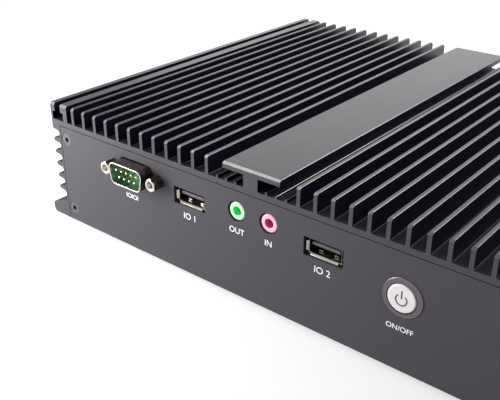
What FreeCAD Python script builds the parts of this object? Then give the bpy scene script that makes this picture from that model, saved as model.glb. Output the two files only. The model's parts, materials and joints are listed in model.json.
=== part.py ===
"""Fanless box computer for a sales counter: a finned, extruded aluminium housing closed by two flush end
panels and a bottom cover, with ports at both ends, a sprung power button and a main board that hangs under
the finned deck and gives its heat to it.

Frame, in millimetres: X to the right as seen from the front, Y from the front to the rear, Z up.  The origin
is on the surface that the rubber feet stand on, under the middle of the case.
"""
import FreeCAD, Part
import math
import os
import re
import Sketcher
from FreeCAD import Placement, Rotation, Vector

# The driving dimensions.  Heights are measured from the underside of the case unless the name says otherwise.
SIZES = (
    # housing: overall size, deck and walls
    ("case_width", "214.5"),
    ("case_depth", "182"),
    ("case_height", "52.9"),
    ("deck_thickness", "4"),
    ("wall_thickness", "3"),
    ("end_chamfer", "0.8"),
    # housing: tall fins, low ribs and the flat centre bar
    ("fin_height", "7.2"),
    ("fin_thickness", "1.75"),
    ("fin_pitch", "6.66"),
    ("fin_first", "20"),
    ("fin_edge", "0.25"),
    ("fin_root", "0.45"),
    ("fin_end_gap", "2"),
    ("low_rib_height", "1.1"),
    ("low_rib_thickness", "1"),
    ("low_rib_pitch", "4.15"),
    ("low_rib_first", "6.75"),
    ("bar_width", "25"),
    ("bar_thickness", "2.4"),
    ("bar_stem", "6.3"),
    ("bar_edge", "0.3"),
    # housing: nut slots along the two upper edges
    ("slot_mouth", "3.5"),
    ("slot_width", "6.6"),
    ("slot_lip", "2.65"),
    ("slot_lip_height", "3.6"),
    ("slot_outer_wall", "1.1"),
    ("slot_inner_wall", "2.5"),
    # housing: toothed sides and bottom flanges
    ("skirt_height", "11.7"),
    ("tooth_depth", "4"),
    ("tooth_pitch", "5.6"),
    ("tooth_tip", "1.6"),
    ("tooth_root", "2.3"),
    ("tooth_edge", "0.25"),
    ("valley_chamfer", "0.8"),
    ("flange_reach", "5.9"),
    ("flange_edge", "4.9"),
    ("flange_root", "8.2"),
    ("flange_round", "2.1"),
    # end panels, the rails behind them and the countersunk screws
    ("panel_thickness", "2"),
    ("panel_gap", "0.15"),
    ("panel_skin", "0.85"),
    ("panel_brow", "2.2"),
    ("screw_inset", "3.45"),
    ("screw_rise", "5.9"),
    ("screw_drop", "5.5"),
    ("rail_size", "8"),
    ("screw_diameter", "3"),
    ("screw_head", "5.6"),
    ("screw_length", "10"),
    ("screw_spare", "1.5"),
    ("screw_socket", "2"),
    ("screw_socket_depth", "1.2"),
    ("screw_sink", "0.1"),
    ("screw_clearance", "0.1"),
    ("thread_clearance", "0.04"),
    # bottom cover, its ledge and screws, the mounting pattern and the feet
    ("cover_thickness", "2"),
    ("cover_gap", "0.15"),
    ("ledge_width", "7"),
    ("ledge_thickness", "4"),
    ("cover_screw_end", "25"),
    ("cover_screw_length", "5"),
    ("arm_spacing", "100"),
    ("arm_hole", "4"),
    ("foot_height", "3"),
    ("foot_diameter", "14"),
    ("foot_taper", "1"),
    ("foot_side_inset", "20"),
    ("foot_end_inset", "14"),
    # main board, its standoffs and screws
    ("board_thickness", "1.6"),
    ("board_head_room", "0.3"),
    ("board_side_gap", "4.8"),
    ("board_end_gap", "1.2"),
    ("standoff_flats", "5.5"),
    ("standoff_side_inset", "5"),
    ("standoff_end_inset", "30"),
    ("stud_length", "3"),
    ("board_screw_head", "5.5"),
    ("board_screw_head_height", "1.8"),
    ("board_screw_grip", "4"),
    ("notch_margin", "1"),
    # places along the front panel, from the middle of the case outwards
    ("audio_x", "-6.2"),
    ("mic_spacing", "14.2"),
    ("left_data_spacing", "22.8"),
    ("right_data_spacing", "22.5"),
    ("serial_spacing", "28.2"),
    ("button_spacing", "29.7"),
    # nine-pin serial ports
    ("serial_base", "0.05"),
    ("collar_top", "18.9"),
    ("collar_height", "9.1"),
    ("collar_round", "2.7"),
    ("collar_wall", "0.5"),
    ("collar_reach", "5.9"),
    ("collar_slant", "10"),
    ("collar_panel_gap", "0.35"),
    ("plate_margin", "2.9"),
    ("plate_height", "12.2"),
    ("plate_sheet", "0.8"),
    ("port_body_depth", "10"),
    ("port_body_margin", "0.6"),
    ("insert_gap", "0.03"),
    ("pin_diameter", "1"),
    ("pin_pitch", "2.77"),
    ("pin_row_gap", "2.84"),
    ("pin_recess", "0.6"),
    ("jack_spacing", "24.99"),
    ("jack_flats", "4.8"),
    ("jack_reach", "4.9"),
    ("jack_bore", "2.6"),
    ("jack_bore_depth", "4"),
    ("jack_stud", "2.8"),
    ("jack_stud_length", "6"),
    ("jack_hole_gap", "0.15"),
    # data ports
    ("data_base", "0.6"),
    ("data_width", "13.1"),
    ("data_height", "5.7"),
    ("data_depth", "14"),
    ("data_sheet", "0.3"),
    ("data_recess", "0.7"),
    ("data_lip", "0.7"),
    ("data_flare", "0.45"),
    ("data_lip_corner", "1.1"),
    ("data_side_gap", "0.7"),
    ("data_over_gap", "0.2"),
    ("data_back", "4"),
    ("data_heel", "1"),
    ("tongue_width", "11.1"),
    ("tongue_thickness", "1.85"),
    ("tongue_length", "8.6"),
    ("tongue_top_gap", "0.65"),
    ("contact_width", "1"),
    ("contact_length", "7"),
    ("contact_sheet", "0.2"),
    ("contact_near", "1"),
    ("contact_far", "3.5"),
    ("finger_x", "3.1"),
    ("finger_width", "1.7"),
    ("finger_length", "4.2"),
    ("finger_slit", "0.35"),
    ("finger_rise", "0.5"),
    ("finger_setback", "2"),
    # sound jacks
    ("sound_rise", "6.2"),
    ("sound_nose", "7.2"),
    ("sound_edge", "0.45"),
    ("sound_gap", "0.35"),
    ("sound_recess", "0.3"),
    ("sound_bore", "3.6"),
    ("sound_bore_depth", "12"),
    ("sound_body_width", "11"),
    ("sound_body_depth", "13"),
    ("sound_body_above", "4.6"),
    # power button
    ("button_height", "27.6"),
    ("bezel_overlap", "1.1"),
    ("bezel_reach", "1.5"),
    ("bezel_edge", "0.7"),
    ("barrel_length", "14"),
    ("barrel_gap", "0.1"),
    ("barrel_wall", "0.5"),
    ("lip_thickness", "1.6"),
    ("cap_diameter", "10"),
    ("cap_gap", "0.2"),
    ("cap_reach", "1.4"),
    ("cap_edge", "0.3"),
    ("cap_collar", "0.35"),
    ("cap_collar_gap", "0.15"),
    ("cap_collar_length", "2.2"),
    ("cap_seat_gap", "0.1"),
    ("cap_travel", "1.2"),
    ("nut_wall", "1"),
    ("nut_thickness", "2.5"),
    ("plunger_gap", "0.4"),
    ("plunger_diameter", "4"),
    ("plunger_length", "3"),
    ("switch_flange", "5"),
    ("terminal_width", "2"),
    ("terminal_sheet", "0.5"),
    ("terminal_length", "5"),
    ("terminal_spacing", "5"),
    # rear ports, in a row as seen from behind
    ("inlet_x", "-74"),
    ("rear_gap", "1.5"),
    ("inlet_rise", "6.2"),
    ("inlet_width", "9"),
    ("inlet_depth", "13"),
    ("inlet_above", "4.6"),
    ("inlet_nose", "8"),
    ("inlet_gap", "0.2"),
    ("inlet_recess", "0.3"),
    ("inlet_bore", "6.4"),
    ("inlet_bore_depth", "9"),
    ("inlet_pin", "2.1"),
    ("inlet_pin_setback", "1"),
    ("monitor_top", "17.2"),
    ("monitor_height", "7.9"),
    ("monitor_round", "2.3"),
    ("monitor_recess", "0.3"),
    ("monitor_hole", "1"),
    ("monitor_hole_depth", "3"),
    ("monitor_pitch", "2.29"),
    ("monitor_row_gap", "1.98"),
    ("network_width", "16"),
    ("network_height", "12.4"),
    ("network_depth", "15"),
    ("network_sheet", "0.4"),
    ("network_recess", "0.3"),
    ("network_gap", "0.3"),
    ("cave_width", "11.8"),
    ("cave_height", "7"),
    ("cave_depth", "11"),
    ("cave_rise", "3.4"),
    ("latch_width", "6"),
    ("latch_height", "1.6"),
    ("wire_width", "0.5"),
    ("wire_pitch", "1.02"),
    ("wire_length", "6"),
    ("wire_drop", "1.6"),
    # processor and heat path
    ("processor_size", "30"),
    ("processor_height", "1.6"),
    ("pad_size", "22"),
    ("pad_height", "0.5"),
    ("block_size", "44"),
    # memory, coin cell and storage drive
    ("memory_y", "-20"),
    ("memory_width", "67.6"),
    ("memory_depth", "30"),
    ("memory_sheet", "1.2"),
    ("memory_drop", "2.4"),
    ("memory_grip", "3"),
    ("memory_gap", "0.05"),
    ("socket_margin", "2.7"),
    ("socket_depth", "7"),
    ("socket_height", "5.2"),
    ("cell_x", "-52"),
    ("cell_y", "28"),
    ("cell_diameter", "20"),
    ("cell_height", "3.2"),
    ("cell_gap", "0.1"),
    ("holder_wall", "1.2"),
    ("holder_floor", "1"),
    ("drive_width", "69.85"),
    ("drive_length", "100"),
    ("drive_height", "7"),
    ("drive_hole_spacing_x", "61.72"),
    ("drive_hole_spacing_y", "76.6"),
    ("drive_screw_grip", "2.5"),
)

doc = FreeCAD.newDocument("box_computer")
sheet = doc.addObject("Spreadsheet::Sheet", "Sizes")
for row, (alias, value) in enumerate(SIZES, start=1):
    sheet.set(f"A{row}", alias)
    sheet.set(f"B{row}", value)
    sheet.setAlias(f"B{row}", alias)
doc.recompute()

# Places that several pieces share, worked out from the driving dimensions.
HALF = "(case_width / 2)"
FRONT = "(-case_depth / 2)"
REAR = "(case_depth / 2)"
DECK_TOP = "(case_height - fin_height)"
DECK_UNDER = f"({DECK_TOP} - deck_thickness)"
WALL_OUT = f"({HALF} - tooth_depth)"
WALL_IN = f"({WALL_OUT} - wall_thickness)"
PANEL_HALF = f"({WALL_OUT} - panel_skin - panel_gap)"
PANEL_TOP = f"({DECK_TOP} - panel_brow - panel_gap)"
SCREW_X = f"({PANEL_HALF} - screw_inset)"
SCREW_HIGH = f"({PANEL_TOP} - screw_drop)"
RAIL_IN = f"({SCREW_X} - rail_size / 2)"
LEDGE_IN = f"({RAIL_IN} - ledge_width)"
LEDGE_TOP = "(cover_thickness + ledge_thickness)"
SCREW_THREAD = "(screw_diameter / 2 + thread_clearance)"
SCREW_HOLE = "(screw_diameter / 2 + screw_clearance)"
COUNTERSINK = "((screw_head - screw_diameter) / 2 + screw_clearance)"
COVER_HALF = f"({WALL_IN} - cover_gap)"
COVER_END = "(case_depth / 2 - panel_thickness - cover_gap)"
COVER_SCREW_X = f"({RAIL_IN} - ledge_width / 2)"
COVER_SCREW_Y = "(case_depth / 2 - cover_screw_end)"
DRIVE_SCREW_X = "(drive_hole_spacing_x / 2)"
DRIVE_SCREW_Y = "(drive_hole_spacing_y / 2)"
PORT_BACK = "(panel_thickness + plate_sheet)"
PLATE_WIDTH = "(jack_spacing + 2 * plate_margin)"
SERIAL_RISE = "(plate_height / 2 + serial_base)"
DATA_RISE = "(data_height / 2 + data_base)"
BOARD_DROP = "(max(plate_height + serial_base; network_height) + board_head_room)"
BOARD_TOP = f"({DECK_UNDER} - {BOARD_DROP})"
BOARD_UNDER = f"({BOARD_TOP} - board_thickness)"
BOARD_HALF = f"({RAIL_IN} - board_side_gap)"
BOARD_END = "(case_depth / 2 - panel_thickness - board_end_gap)"
STANDOFF_X = f"({BOARD_HALF} - standoff_side_inset)"
STANDOFF_Y = f"({BOARD_END} - standoff_end_inset)"
MIC_X = "(audio_x + mic_spacing)"
LEFT_DATA_X = "(audio_x - left_data_spacing)"
RIGHT_DATA_X = f"({MIC_X} + right_data_spacing)"
SERIAL_X = f"({LEFT_DATA_X} - serial_spacing)"
BUTTON_X = f"({RIGHT_DATA_X} + button_spacing)"
DATA_CUT = "(data_width + 2 * data_flare + 2 * data_side_gap)"
REAR_SERIAL_X = [
    f"(inlet_x + inlet_width / 2 + (rear_gap + {PLATE_WIDTH}) * {place} - {PLATE_WIDTH} / 2)"
    for place in (1, 2)
]
MONITOR_X = f"({REAR_SERIAL_X[1]} + {PLATE_WIDTH} + rear_gap)"
NETWORK_X = f"({MONITOR_X} + {PLATE_WIDTH} / 2 + rear_gap + network_width / 2)"
REAR_DATA_X = [
    f"({NETWORK_X} + network_width / 2 + (rear_gap + {DATA_CUT}) * {place} - {DATA_CUT} / 2)"
    for place in (1, 2)
]
CAP_RADIUS = "(cap_diameter / 2)"
BARREL_IN = f"({CAP_RADIUS} + cap_collar + cap_collar_gap)"
BARREL_OUT = f"({BARREL_IN} + barrel_wall)"
NUT_FLATS = f"(2 * ({BARREL_OUT} + nut_wall))"
SWITCH_BACK = "(barrel_length + switch_flange)"
SWITCH_END = f"({SWITCH_BACK} + terminal_length)"

# Round details that nothing shows get few sides, which keeps the model light.  Countersinks narrow by 45
# degrees.
HIDDEN_SIDES = 8
SCREW_SIDES = 12
COUNTERSINK_TAPER = 45

AXES = {"XY": ("XY_Plane", 1), "XZ": ("XZ_Plane", -1), "YZ": ("YZ_Plane", 1)}
NAMES = {alias for alias, value in SIZES}
pieces = []


def number(text):
    """The value of an expression over the sheet's names."""
    return float(sheet.evalExpression(text))


def linked(text):
    """An expression over the sheet's names, as an object outside the sheet writes it."""
    return re.sub(r"[a-z]\w*", lambda word: f"Sizes.{word[0]}" if word[0] in NAMES else word[0], text)


def piece(label, x="0", y="0", z="foot_height", turn=0):
    """A new sub-part, placed at x, y, z and turned about the vertical by whole degrees."""
    body = doc.addObject("PartDesign::Body", label)
    body.Label = label
    body.AllowCompound = True
    body.Placement = Placement(Vector(), Rotation(Vector(0, 0, 1), turn))
    for axis, text in zip("xyz", (x, y, z)):
        body.setExpression(f"Placement.Base.{axis}", linked(text))
    pieces.append(body)
    return body


def datum(body, role):
    """One of a body's own origin planes or axes."""
    return next(feature for feature in body.Origin.OriginFeatures if feature.Role == role)


def tie(kind, *where):
    """A constraint of a sketch without a dimension, paired with no expression."""
    return Sketcher.Constraint(kind, *where), None


def dimension(kind, expression, *where):
    """A dimension of a sketch, paired with the expression that it is bound to."""
    return Sketcher.Constraint(kind, *where, number(expression)), expression


def hold(geometry, end, corner):
    """The two dimensions that hold a point of a sketch at a corner's place."""
    across = dimension("DistanceX", corner[0], geometry, end)
    return [across, dimension("DistanceY", corner[1], geometry, end)]


def draw_circle(sketch, x, y, radius):
    """A circle at x, y; returns its constraints."""
    centre = Vector(number(x), number(y), 0)
    circle = sketch.addGeometry(Part.Circle(centre, Vector(0, 0, 1), number(radius)))
    return [*hold(circle, 3, (x, y)), dimension("Radius", radius, circle)]


def corner_arc(before, corner, after, radius):
    """The arc that rounds a corner, drawn counter-clockwise, with the sides' two new ends and their order."""
    back = (before - corner).normalize()
    ahead = (after - corner).normalize()
    half_angle = back.getAngle(ahead) / 2
    side_end = corner + back * (radius / math.tan(half_angle))
    side_start = corner + ahead * (radius / math.tan(half_angle))
    centre = corner + (back + ahead).normalize() * (radius / math.sin(half_angle))
    turns_left = ahead.cross(back).z > 0
    first, last = (side_end, side_start) if turns_left else (side_start, side_end)
    angles = [math.atan2(point.y - centre.y, point.x - centre.x) for point in (first, last)]
    arc = Part.ArcOfCircle(Part.Circle(centre, Vector(0, 0, 1), radius), *angles)
    return arc, side_end, side_start, (1, 2) if turns_left else (2, 1)


def draw_outline(sketch, corners):
    """A closed outline of straight sides; returns its constraints.

    A corner is (x, y), or (x, y, radius) where it is rounded.
    """
    points = [Vector(number(corner[0]), number(corner[1]), 0) for corner in corners]
    count = len(points)
    side_starts = list(points)
    side_ends = list(points)
    arcs = {}
    for index, corner in enumerate(corners):
        if len(corner) == 3:
            neighbours = (points[index - 1], points[index], points[(index + 1) % count])
            arc, side_ends[index], side_starts[index], order = corner_arc(*neighbours, number(corner[2]))
            arcs[index] = (arc, order)
    sides = [
        sketch.addGeometry(Part.LineSegment(side_starts[index], side_ends[(index + 1) % count]))
        for index in range(count)
    ]
    constraints = []
    for index, corner in enumerate(corners):
        before = sides[index - 1]
        after = sides[index]
        if index in arcs:
            arc, order = arcs[index]
            bend = sketch.addGeometry(arc)
            apex = sketch.addGeometry(Part.Point(points[index]), True)
            constraints += [
                tie("Tangent", before, 2, bend, order[0]),
                tie("Tangent", after, 1, bend, order[1]),
                tie("PointOnObject", apex, 1, before),
                tie("PointOnObject", apex, 1, after),
                dimension("Radius", corner[2], bend),
                *hold(apex, 1, corner),
            ]
        else:
            constraints += [tie("Coincident", before, 2, after, 1), *hold(after, 1, corner)]
    return constraints


def profile(body, name, plane, loops, at="0"):
    """A sketch on an origin plane, moved to a place along that plane's normal.

    A loop of one entry (x, y, radius) is a circle; any longer one is an outline.
    """
    role, sign = AXES[plane]
    sketch = body.newObject("Sketcher::SketchObject", f"{body.Label}_{name}_sketch")
    sketch.AttachmentSupport = [(datum(body, role), "")]
    sketch.MapMode = "FlatFace"
    sketch.setExpression("AttachmentOffset.Base.z", linked(f"{sign} * ({at})"))
    constraints = []
    for loop in loops:
        constraints += draw_circle(sketch, *loop[0]) if len(loop) == 1 else draw_outline(sketch, loop)
    sketch.addConstraint([constraint for constraint, expression in constraints])
    for index, (constraint, expression) in enumerate(constraints):
        if expression:
            sketch.setExpression(f"Constraints[{index}]", linked(expression))
    return sketch


def extrude(kind, body, name, plane, loops, start, end, taper):
    """A Pad or Pocket of loops, from start to end along the plane's axis, narrowing by a taper in degrees."""
    sketch = profile(body, name, plane, loops, at=start)
    feature = body.newObject(f"PartDesign::{kind}", f"{body.Label}_{name}")
    feature.Profile = sketch
    feature.setExpression("Length", linked(f"({end}) - ({start})"))
    forward = AXES[plane][1] > 0
    feature.Reversed = forward if kind == "Pocket" else not forward
    feature.TaperAngle = -taper
    return feature


def pad(body, name, plane, loops, start, end, taper=0):
    """Material added between two places along the plane's axis."""
    return extrude("Pad", body, name, plane, loops, start, end, taper)


def cut(body, name, plane, loops, start, end, taper=0):
    """Material taken away between two places along the plane's axis."""
    doc.recompute()
    before = body.Tip.Shape.Volume
    feature = extrude("Pocket", body, name, plane, loops, start, end, taper)
    doc.recompute()
    if feature.Shape.isNull() or feature.Shape.Volume >= before:
        raise ValueError(f"{feature.Label} takes nothing away")
    return feature


def revolve(body, name, plane, loop):
    """A turned form about the upright axis of its sketch."""
    sketch = profile(body, name, plane, [loop])
    feature = body.newObject("PartDesign::Revolution", f"{body.Label}_{name}")
    feature.Profile = sketch
    feature.ReferenceAxis = (sketch, ["V_Axis"])
    feature.Angle = 360
    return feature


def linear(body, name, run):
    """A linear pattern along an axis; a run is (axis, length, count) and may point backwards."""
    axis, length, count = run
    pattern = body.newObject("PartDesign::LinearPattern", f"{body.Label}_{name}")
    pattern.Direction = (datum(body, f"{axis[-1]}_Axis"), [""])
    pattern.Reversed = axis.startswith("-")
    pattern.setExpression("Length", linked(length))
    pattern.setExpression("Occurrences", linked(count))
    return pattern


def repeat(body, name, feature, run):
    """Copies of a feature along one axis."""
    doc.recompute()
    pattern = linear(body, name, run)
    pattern.Originals = [feature]
    body.Tip = pattern
    doc.recompute()


def mirror(body, name):
    """A mirroring across the middle plane."""
    mirrored = body.newObject("PartDesign::Mirrored", f"{body.Label}_{name}")
    mirrored.MirrorPlane = (datum(body, "YZ_Plane"), [""])
    return mirrored


def repeat_both_sides(body, name, feature, run):
    """Copies of a feature along X, and the same again mirrored across the middle."""
    doc.recompute()
    base = body.Tip
    group = body.newObject("PartDesign::MultiTransform", f"{body.Label}_{name}")
    steps = [linear(body, f"{name}_row", run), mirror(body, f"{name}_mirror")]
    group.Originals = [feature]
    group.Transformations = steps
    group.BaseFeature = base
    body.Tip = group
    doc.recompute()


def flip(loop):
    """A loop mirrored across the middle plane."""
    return [(f"-({corner[0]})", *corner[1:]) for corner in reversed(loop)]


def box(left, low, right, high, *radius):
    """A rectangle, with rounded corners if a radius is given."""
    return [(left, low, *radius), (right, low, *radius), (right, high, *radius), (left, high, *radius)]


def centred(width, height, *radius, x="0", z="0"):
    """A rectangle about a centre."""
    left = f"({x}) - ({width}) / 2"
    right = f"({x}) + ({width}) / 2"
    return box(left, f"({z}) - ({height}) / 2", right, f"({z}) + ({height}) / 2", *radius)


def polygon(sides, x, z, radius):
    """A regular polygon drawn round a circle of the given radius."""
    reach = f"({radius}) / cos({180 / sides} deg)"
    turns = [360 * (side + 0.5) / sides for side in range(sides)]
    return [(f"({x}) + {reach} * cos({turn} deg)", f"({z}) + {reach} * sin({turn} deg)") for turn in turns]


def hexagon(flats, x="0", z="0"):
    """A regular hexagon with two corners up and down, from its width across flats."""
    return polygon(6, x, z, f"({flats}) / 2")


def hidden_round(x, z, radius):
    """The loop of a round shank or hole that nothing shows."""
    return polygon(HIDDEN_SIDES, x, z, radius)


def d_shape(top, height, radius, inset="0", x="0", z="0"):
    """The rounded D of a plug collar, wide side up, drawn in from its nominal outline by inset."""
    slant = "collar_slant * 1 deg"
    wide = f"(({top}) / 2 - ({inset}) * (1 + sin({slant})) / cos({slant}))"
    narrow = f"({wide} - (({height}) - 2 * ({inset})) * tan({slant}))"
    low = f"({z}) - ({height}) / 2 + ({inset})"
    high = f"({z}) + ({height}) / 2 - ({inset})"
    bend = f"({radius}) - ({inset})"
    return [
        (f"({x}) - {narrow}", low, bend),
        (f"({x}) + {narrow}", low, bend),
        (f"({x}) + {wide}", high, bend),
        (f"({x}) - {wide}", high, bend),
    ]


def circle(x, z, radius):
    """A loop that is a circle."""
    return [(x, z, radius)]


def chamfer_rim(body, size, place, radius):
    """A chamfer on the round edge of one radius at one place along Y."""
    doc.recompute()
    base = body.Tip
    edges = [
        f"Edge{index}"
        for index, edge in enumerate(base.Shape.Edges, start=1)
        if isinstance(edge.Curve, Part.Circle)
        and abs(edge.Curve.Center.y - number(place)) < 1e-4
        and abs(edge.Curve.Radius - number(radius)) < 1e-4
    ]
    if not edges:
        raise ValueError(f"{body.Label} has no such rim")
    feature = body.newObject("PartDesign::Chamfer", f"{body.Label}_rim")
    feature.Base = (base, edges)
    feature.setExpression("Size", linked(size))


def symmetric(half, x="0"):
    """A closed outline from its right half, which is measured from a middle line at x."""
    right = [(f"({x}) + ({corner[0]})", *corner[1:]) for corner in half]
    left = [(f"({x}) - ({corner[0]})", *corner[1:]) for corner in reversed(half)]
    return right + left


def both(*places):
    """Each place on both sides of the middle."""
    return [f"{sign}{place}" for place in places for sign in ("", "-")]


def port_piece(label, x, rise, rear):
    """A sub-part of a port: its origin is on the panel's outer face in its middle, and +Y leads inwards."""
    z = f"foot_height + {BOARD_TOP} + {rise}"
    if rear:
        return piece(label, f"-{x}", REAR, z, turn=180)
    return piece(label, x, FRONT, z)


# Housing: one extruded aluminium section with tall fins, low ribs, a flat centre bar, nut slots along the
# upper edges, toothed sides and bottom flanges.  Both ends are milled so that the panels sit flush.
SLOT_ROOF = "(case_height - slot_lip_height)"
SLOT_IN = f"({HALF} - slot_outer_wall - slot_width)"
SLOT_END = f"({SLOT_IN} - slot_inner_wall)"
SLOT_MOUTH_IN = f"({HALF} - slot_lip - slot_mouth)"
FIN_COUNT = f"(floor(({SLOT_END} - fin_end_gap - fin_thickness / 2 - fin_first) / fin_pitch) + 1)"
LOW_RIB_COUNT = "(floor((fin_first - low_rib_first - low_rib_pitch) / low_rib_pitch) + 1)"
SKIRT = "(case_height - skirt_height)"
VALLEY = "(tooth_pitch - tooth_tip)"
VALLEY_SIDE = f"({WALL_OUT} + valley_chamfer)"
TOOTH_SPLAY = "((tooth_root - tooth_tip) / 2)"
TOOTH_COUNT = f"(floor(({SKIRT} - flange_root) / tooth_pitch))"
LAST_TOOTH = f"({SKIRT} - {TOOTH_COUNT} * tooth_pitch)"
REBATE = f"({PANEL_HALF} + panel_gap)"
REBATE_TOP = f"({PANEL_TOP} + panel_gap)"

housing = piece("housing")
section = [
    (RAIL_IN, DECK_UNDER),
    (RAIL_IN, f"{SCREW_HIGH} - rail_size / 2"),
    (WALL_IN, f"{SCREW_HIGH} - rail_size / 2"),
    (WALL_IN, "screw_rise + rail_size / 2"),
    (RAIL_IN, "screw_rise + rail_size / 2"),
    (RAIL_IN, LEDGE_TOP),
    (LEDGE_IN, LEDGE_TOP),
    (LEDGE_IN, "cover_thickness"),
    (WALL_IN, "cover_thickness"),
    (WALL_IN, "0"),
    (f"{HALF} + flange_reach", "0", "flange_round"),
    (f"{HALF} + flange_reach", "flange_edge", "flange_round"),
    (VALLEY_SIDE, "flange_root"),
    (WALL_OUT, "flange_root + valley_chamfer"),
    (WALL_OUT, f"{LAST_TOOTH} - {TOOTH_SPLAY} - valley_chamfer"),
    (VALLEY_SIDE, f"{LAST_TOOTH} - {TOOTH_SPLAY}"),
    (f"{HALF} - tooth_edge", LAST_TOOTH),
    (HALF, f"{LAST_TOOTH} + tooth_edge"),
    (HALF, DECK_TOP),
]
pad(housing, "section", "XZ", [symmetric(section)], FRONT, REAR)
slot_outside = [
    (HALF, DECK_TOP),
    (HALF, "case_height"),
    (f"{HALF} - slot_lip", "case_height"),
    (f"{HALF} - slot_lip", SLOT_ROOF),
    (f"{HALF} - slot_outer_wall", SLOT_ROOF),
    (f"{HALF} - slot_outer_wall", DECK_TOP),
]
slot_inside = [
    (SLOT_IN, DECK_TOP),
    (SLOT_IN, SLOT_ROOF),
    (SLOT_MOUTH_IN, SLOT_ROOF),
    (SLOT_MOUTH_IN, "case_height"),
    (SLOT_END, "case_height"),
    (SLOT_END, DECK_TOP),
]
slot_walls = [slot_outside, flip(slot_outside), slot_inside, flip(slot_inside)]
pad(housing, "nut_slots", "XZ", slot_walls, FRONT, REAR)
bar = [
    ("bar_stem / 2", DECK_TOP),
    ("bar_stem / 2", "case_height - bar_thickness"),
    ("bar_width / 2", "case_height - bar_thickness"),
    ("bar_width / 2", "case_height - bar_edge"),
    ("bar_width / 2 - bar_edge", "case_height"),
]
pad(housing, "bar", "XZ", [symmetric(bar)], FRONT, REAR)
low_rib = [
    ("low_rib_thickness / 2", DECK_TOP),
    ("low_rib_thickness / 2", f"{DECK_TOP} + low_rib_height - fin_edge"),
    ("low_rib_thickness / 2 - fin_edge", f"{DECK_TOP} + low_rib_height"),
]
first_rib = pad(housing, "low_rib", "XZ", [symmetric(low_rib, "low_rib_first")], FRONT, REAR)
rib_run = ("X", f"({LOW_RIB_COUNT} - 1) * low_rib_pitch", LOW_RIB_COUNT)
repeat_both_sides(housing, "low_ribs", first_rib, rib_run)
fin = [
    ("fin_thickness / 2 + fin_root", f"{DECK_TOP} - fin_root"),
    ("fin_thickness / 2 + fin_root", DECK_TOP),
    ("fin_thickness / 2", f"{DECK_TOP} + fin_root"),
    ("fin_thickness / 2", "case_height - fin_edge"),
    ("fin_thickness / 2 - fin_edge", "case_height"),
]
first_fin = pad(housing, "fin", "XZ", [symmetric(fin, "fin_first")], FRONT, REAR)
fin_run = ("X", f"({FIN_COUNT} - 1) * fin_pitch", FIN_COUNT)
repeat_both_sides(housing, "fins", first_fin, fin_run)
groove = [
    (f"{HALF} + tooth_depth", f"{SKIRT} + tooth_edge"),
    (HALF, f"{SKIRT} + tooth_edge"),
    (f"{HALF} - tooth_edge", SKIRT),
    (VALLEY_SIDE, f"{SKIRT} - {TOOTH_SPLAY}"),
    (WALL_OUT, f"{SKIRT} - {TOOTH_SPLAY} - valley_chamfer"),
    (WALL_OUT, f"{SKIRT} - {VALLEY} + {TOOTH_SPLAY} + valley_chamfer"),
    (VALLEY_SIDE, f"{SKIRT} - {VALLEY} + {TOOTH_SPLAY}"),
    (f"{HALF} - tooth_edge", f"{SKIRT} - {VALLEY}"),
    (HALF, f"{SKIRT} - {VALLEY} - tooth_edge"),
    (f"{HALF} + tooth_depth", f"{SKIRT} - {VALLEY} - tooth_edge"),
]
first_groove = cut(housing, "groove", "XZ", [groove, flip(groove)], FRONT, REAR)
repeat(housing, "grooves", first_groove, ("-Z", f"({TOOTH_COUNT} - 1) * tooth_pitch", TOOTH_COUNT))
rebate = box(f"-{REBATE}", "-panel_gap", REBATE, REBATE_TOP)
cut(housing, "front_rebate", "XZ", [rebate], FRONT, f"{FRONT} + panel_thickness")
cut(housing, "rear_rebate", "XZ", [rebate], f"{REAR} - panel_thickness", REAR)
front_edge = [
    (f"{FRONT} - end_chamfer", "case_height - 2 * end_chamfer"),
    (f"{FRONT} + 2 * end_chamfer", "case_height + end_chamfer"),
    (f"{FRONT} - end_chamfer", "case_height + end_chamfer"),
]
cut(housing, "end_chamfers", "YZ", [front_edge, flip(front_edge)], f"-{HALF}", HALF)
panel_screw_places = [(x, z) for x in both(SCREW_X) for z in ("screw_rise", SCREW_HIGH)]
panel_threads = [hidden_round(x, z, SCREW_THREAD) for x, z in panel_screw_places]
thread_end = "(screw_length + screw_spare)"
cut(housing, "front_threads", "XZ", panel_threads, f"{FRONT} + panel_thickness", f"{FRONT} + {thread_end}")
cut(housing, "rear_threads", "XZ", panel_threads, f"{REAR} - {thread_end}", f"{REAR} - panel_thickness")
cover_screw_places = [(x, y) for x in both(COVER_SCREW_X) for y in both(COVER_SCREW_Y)]
cover_threads = [hidden_round(x, y, SCREW_THREAD) for x, y in cover_screw_places]
cut(housing, "cover_threads", "XY", cover_threads, "cover_thickness", LEDGE_TOP)
standoff_places = [(x, y) for x in both(STANDOFF_X) for y in (f"-{STANDOFF_Y}", "0", STANDOFF_Y)]
standoff_threads = [hidden_round(x, y, SCREW_THREAD) for x, y in standoff_places]
stud_end = f"{DECK_UNDER} + stud_length + screw_clearance"
cut(housing, "standoff_threads", "XY", standoff_threads, DECK_UNDER, stud_end)


# End panels: flat plates with an opening for each port and a countersunk screw hole in each corner.
def collar_opening(x, collar):
    """The openings that a collared port needs: its collar and its two jackscrews."""
    z = f"{BOARD_TOP} + {SERIAL_RISE}"
    jack_hole = "jack_stud / 2 + jack_hole_gap"
    return [
        d_shape(*collar, inset="-collar_panel_gap", x=x, z=z),
        hidden_round(f"{x} - jack_spacing / 2", z, jack_hole),
        hidden_round(f"{x} + jack_spacing / 2", z, jack_hole),
    ]


def data_opening(x):
    """The opening of a data port."""
    height = "data_height + 2 * data_flare + 2 * data_over_gap"
    return centred(DATA_CUT, height, x=x, z=f"{BOARD_TOP} + {DATA_RISE}")


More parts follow.
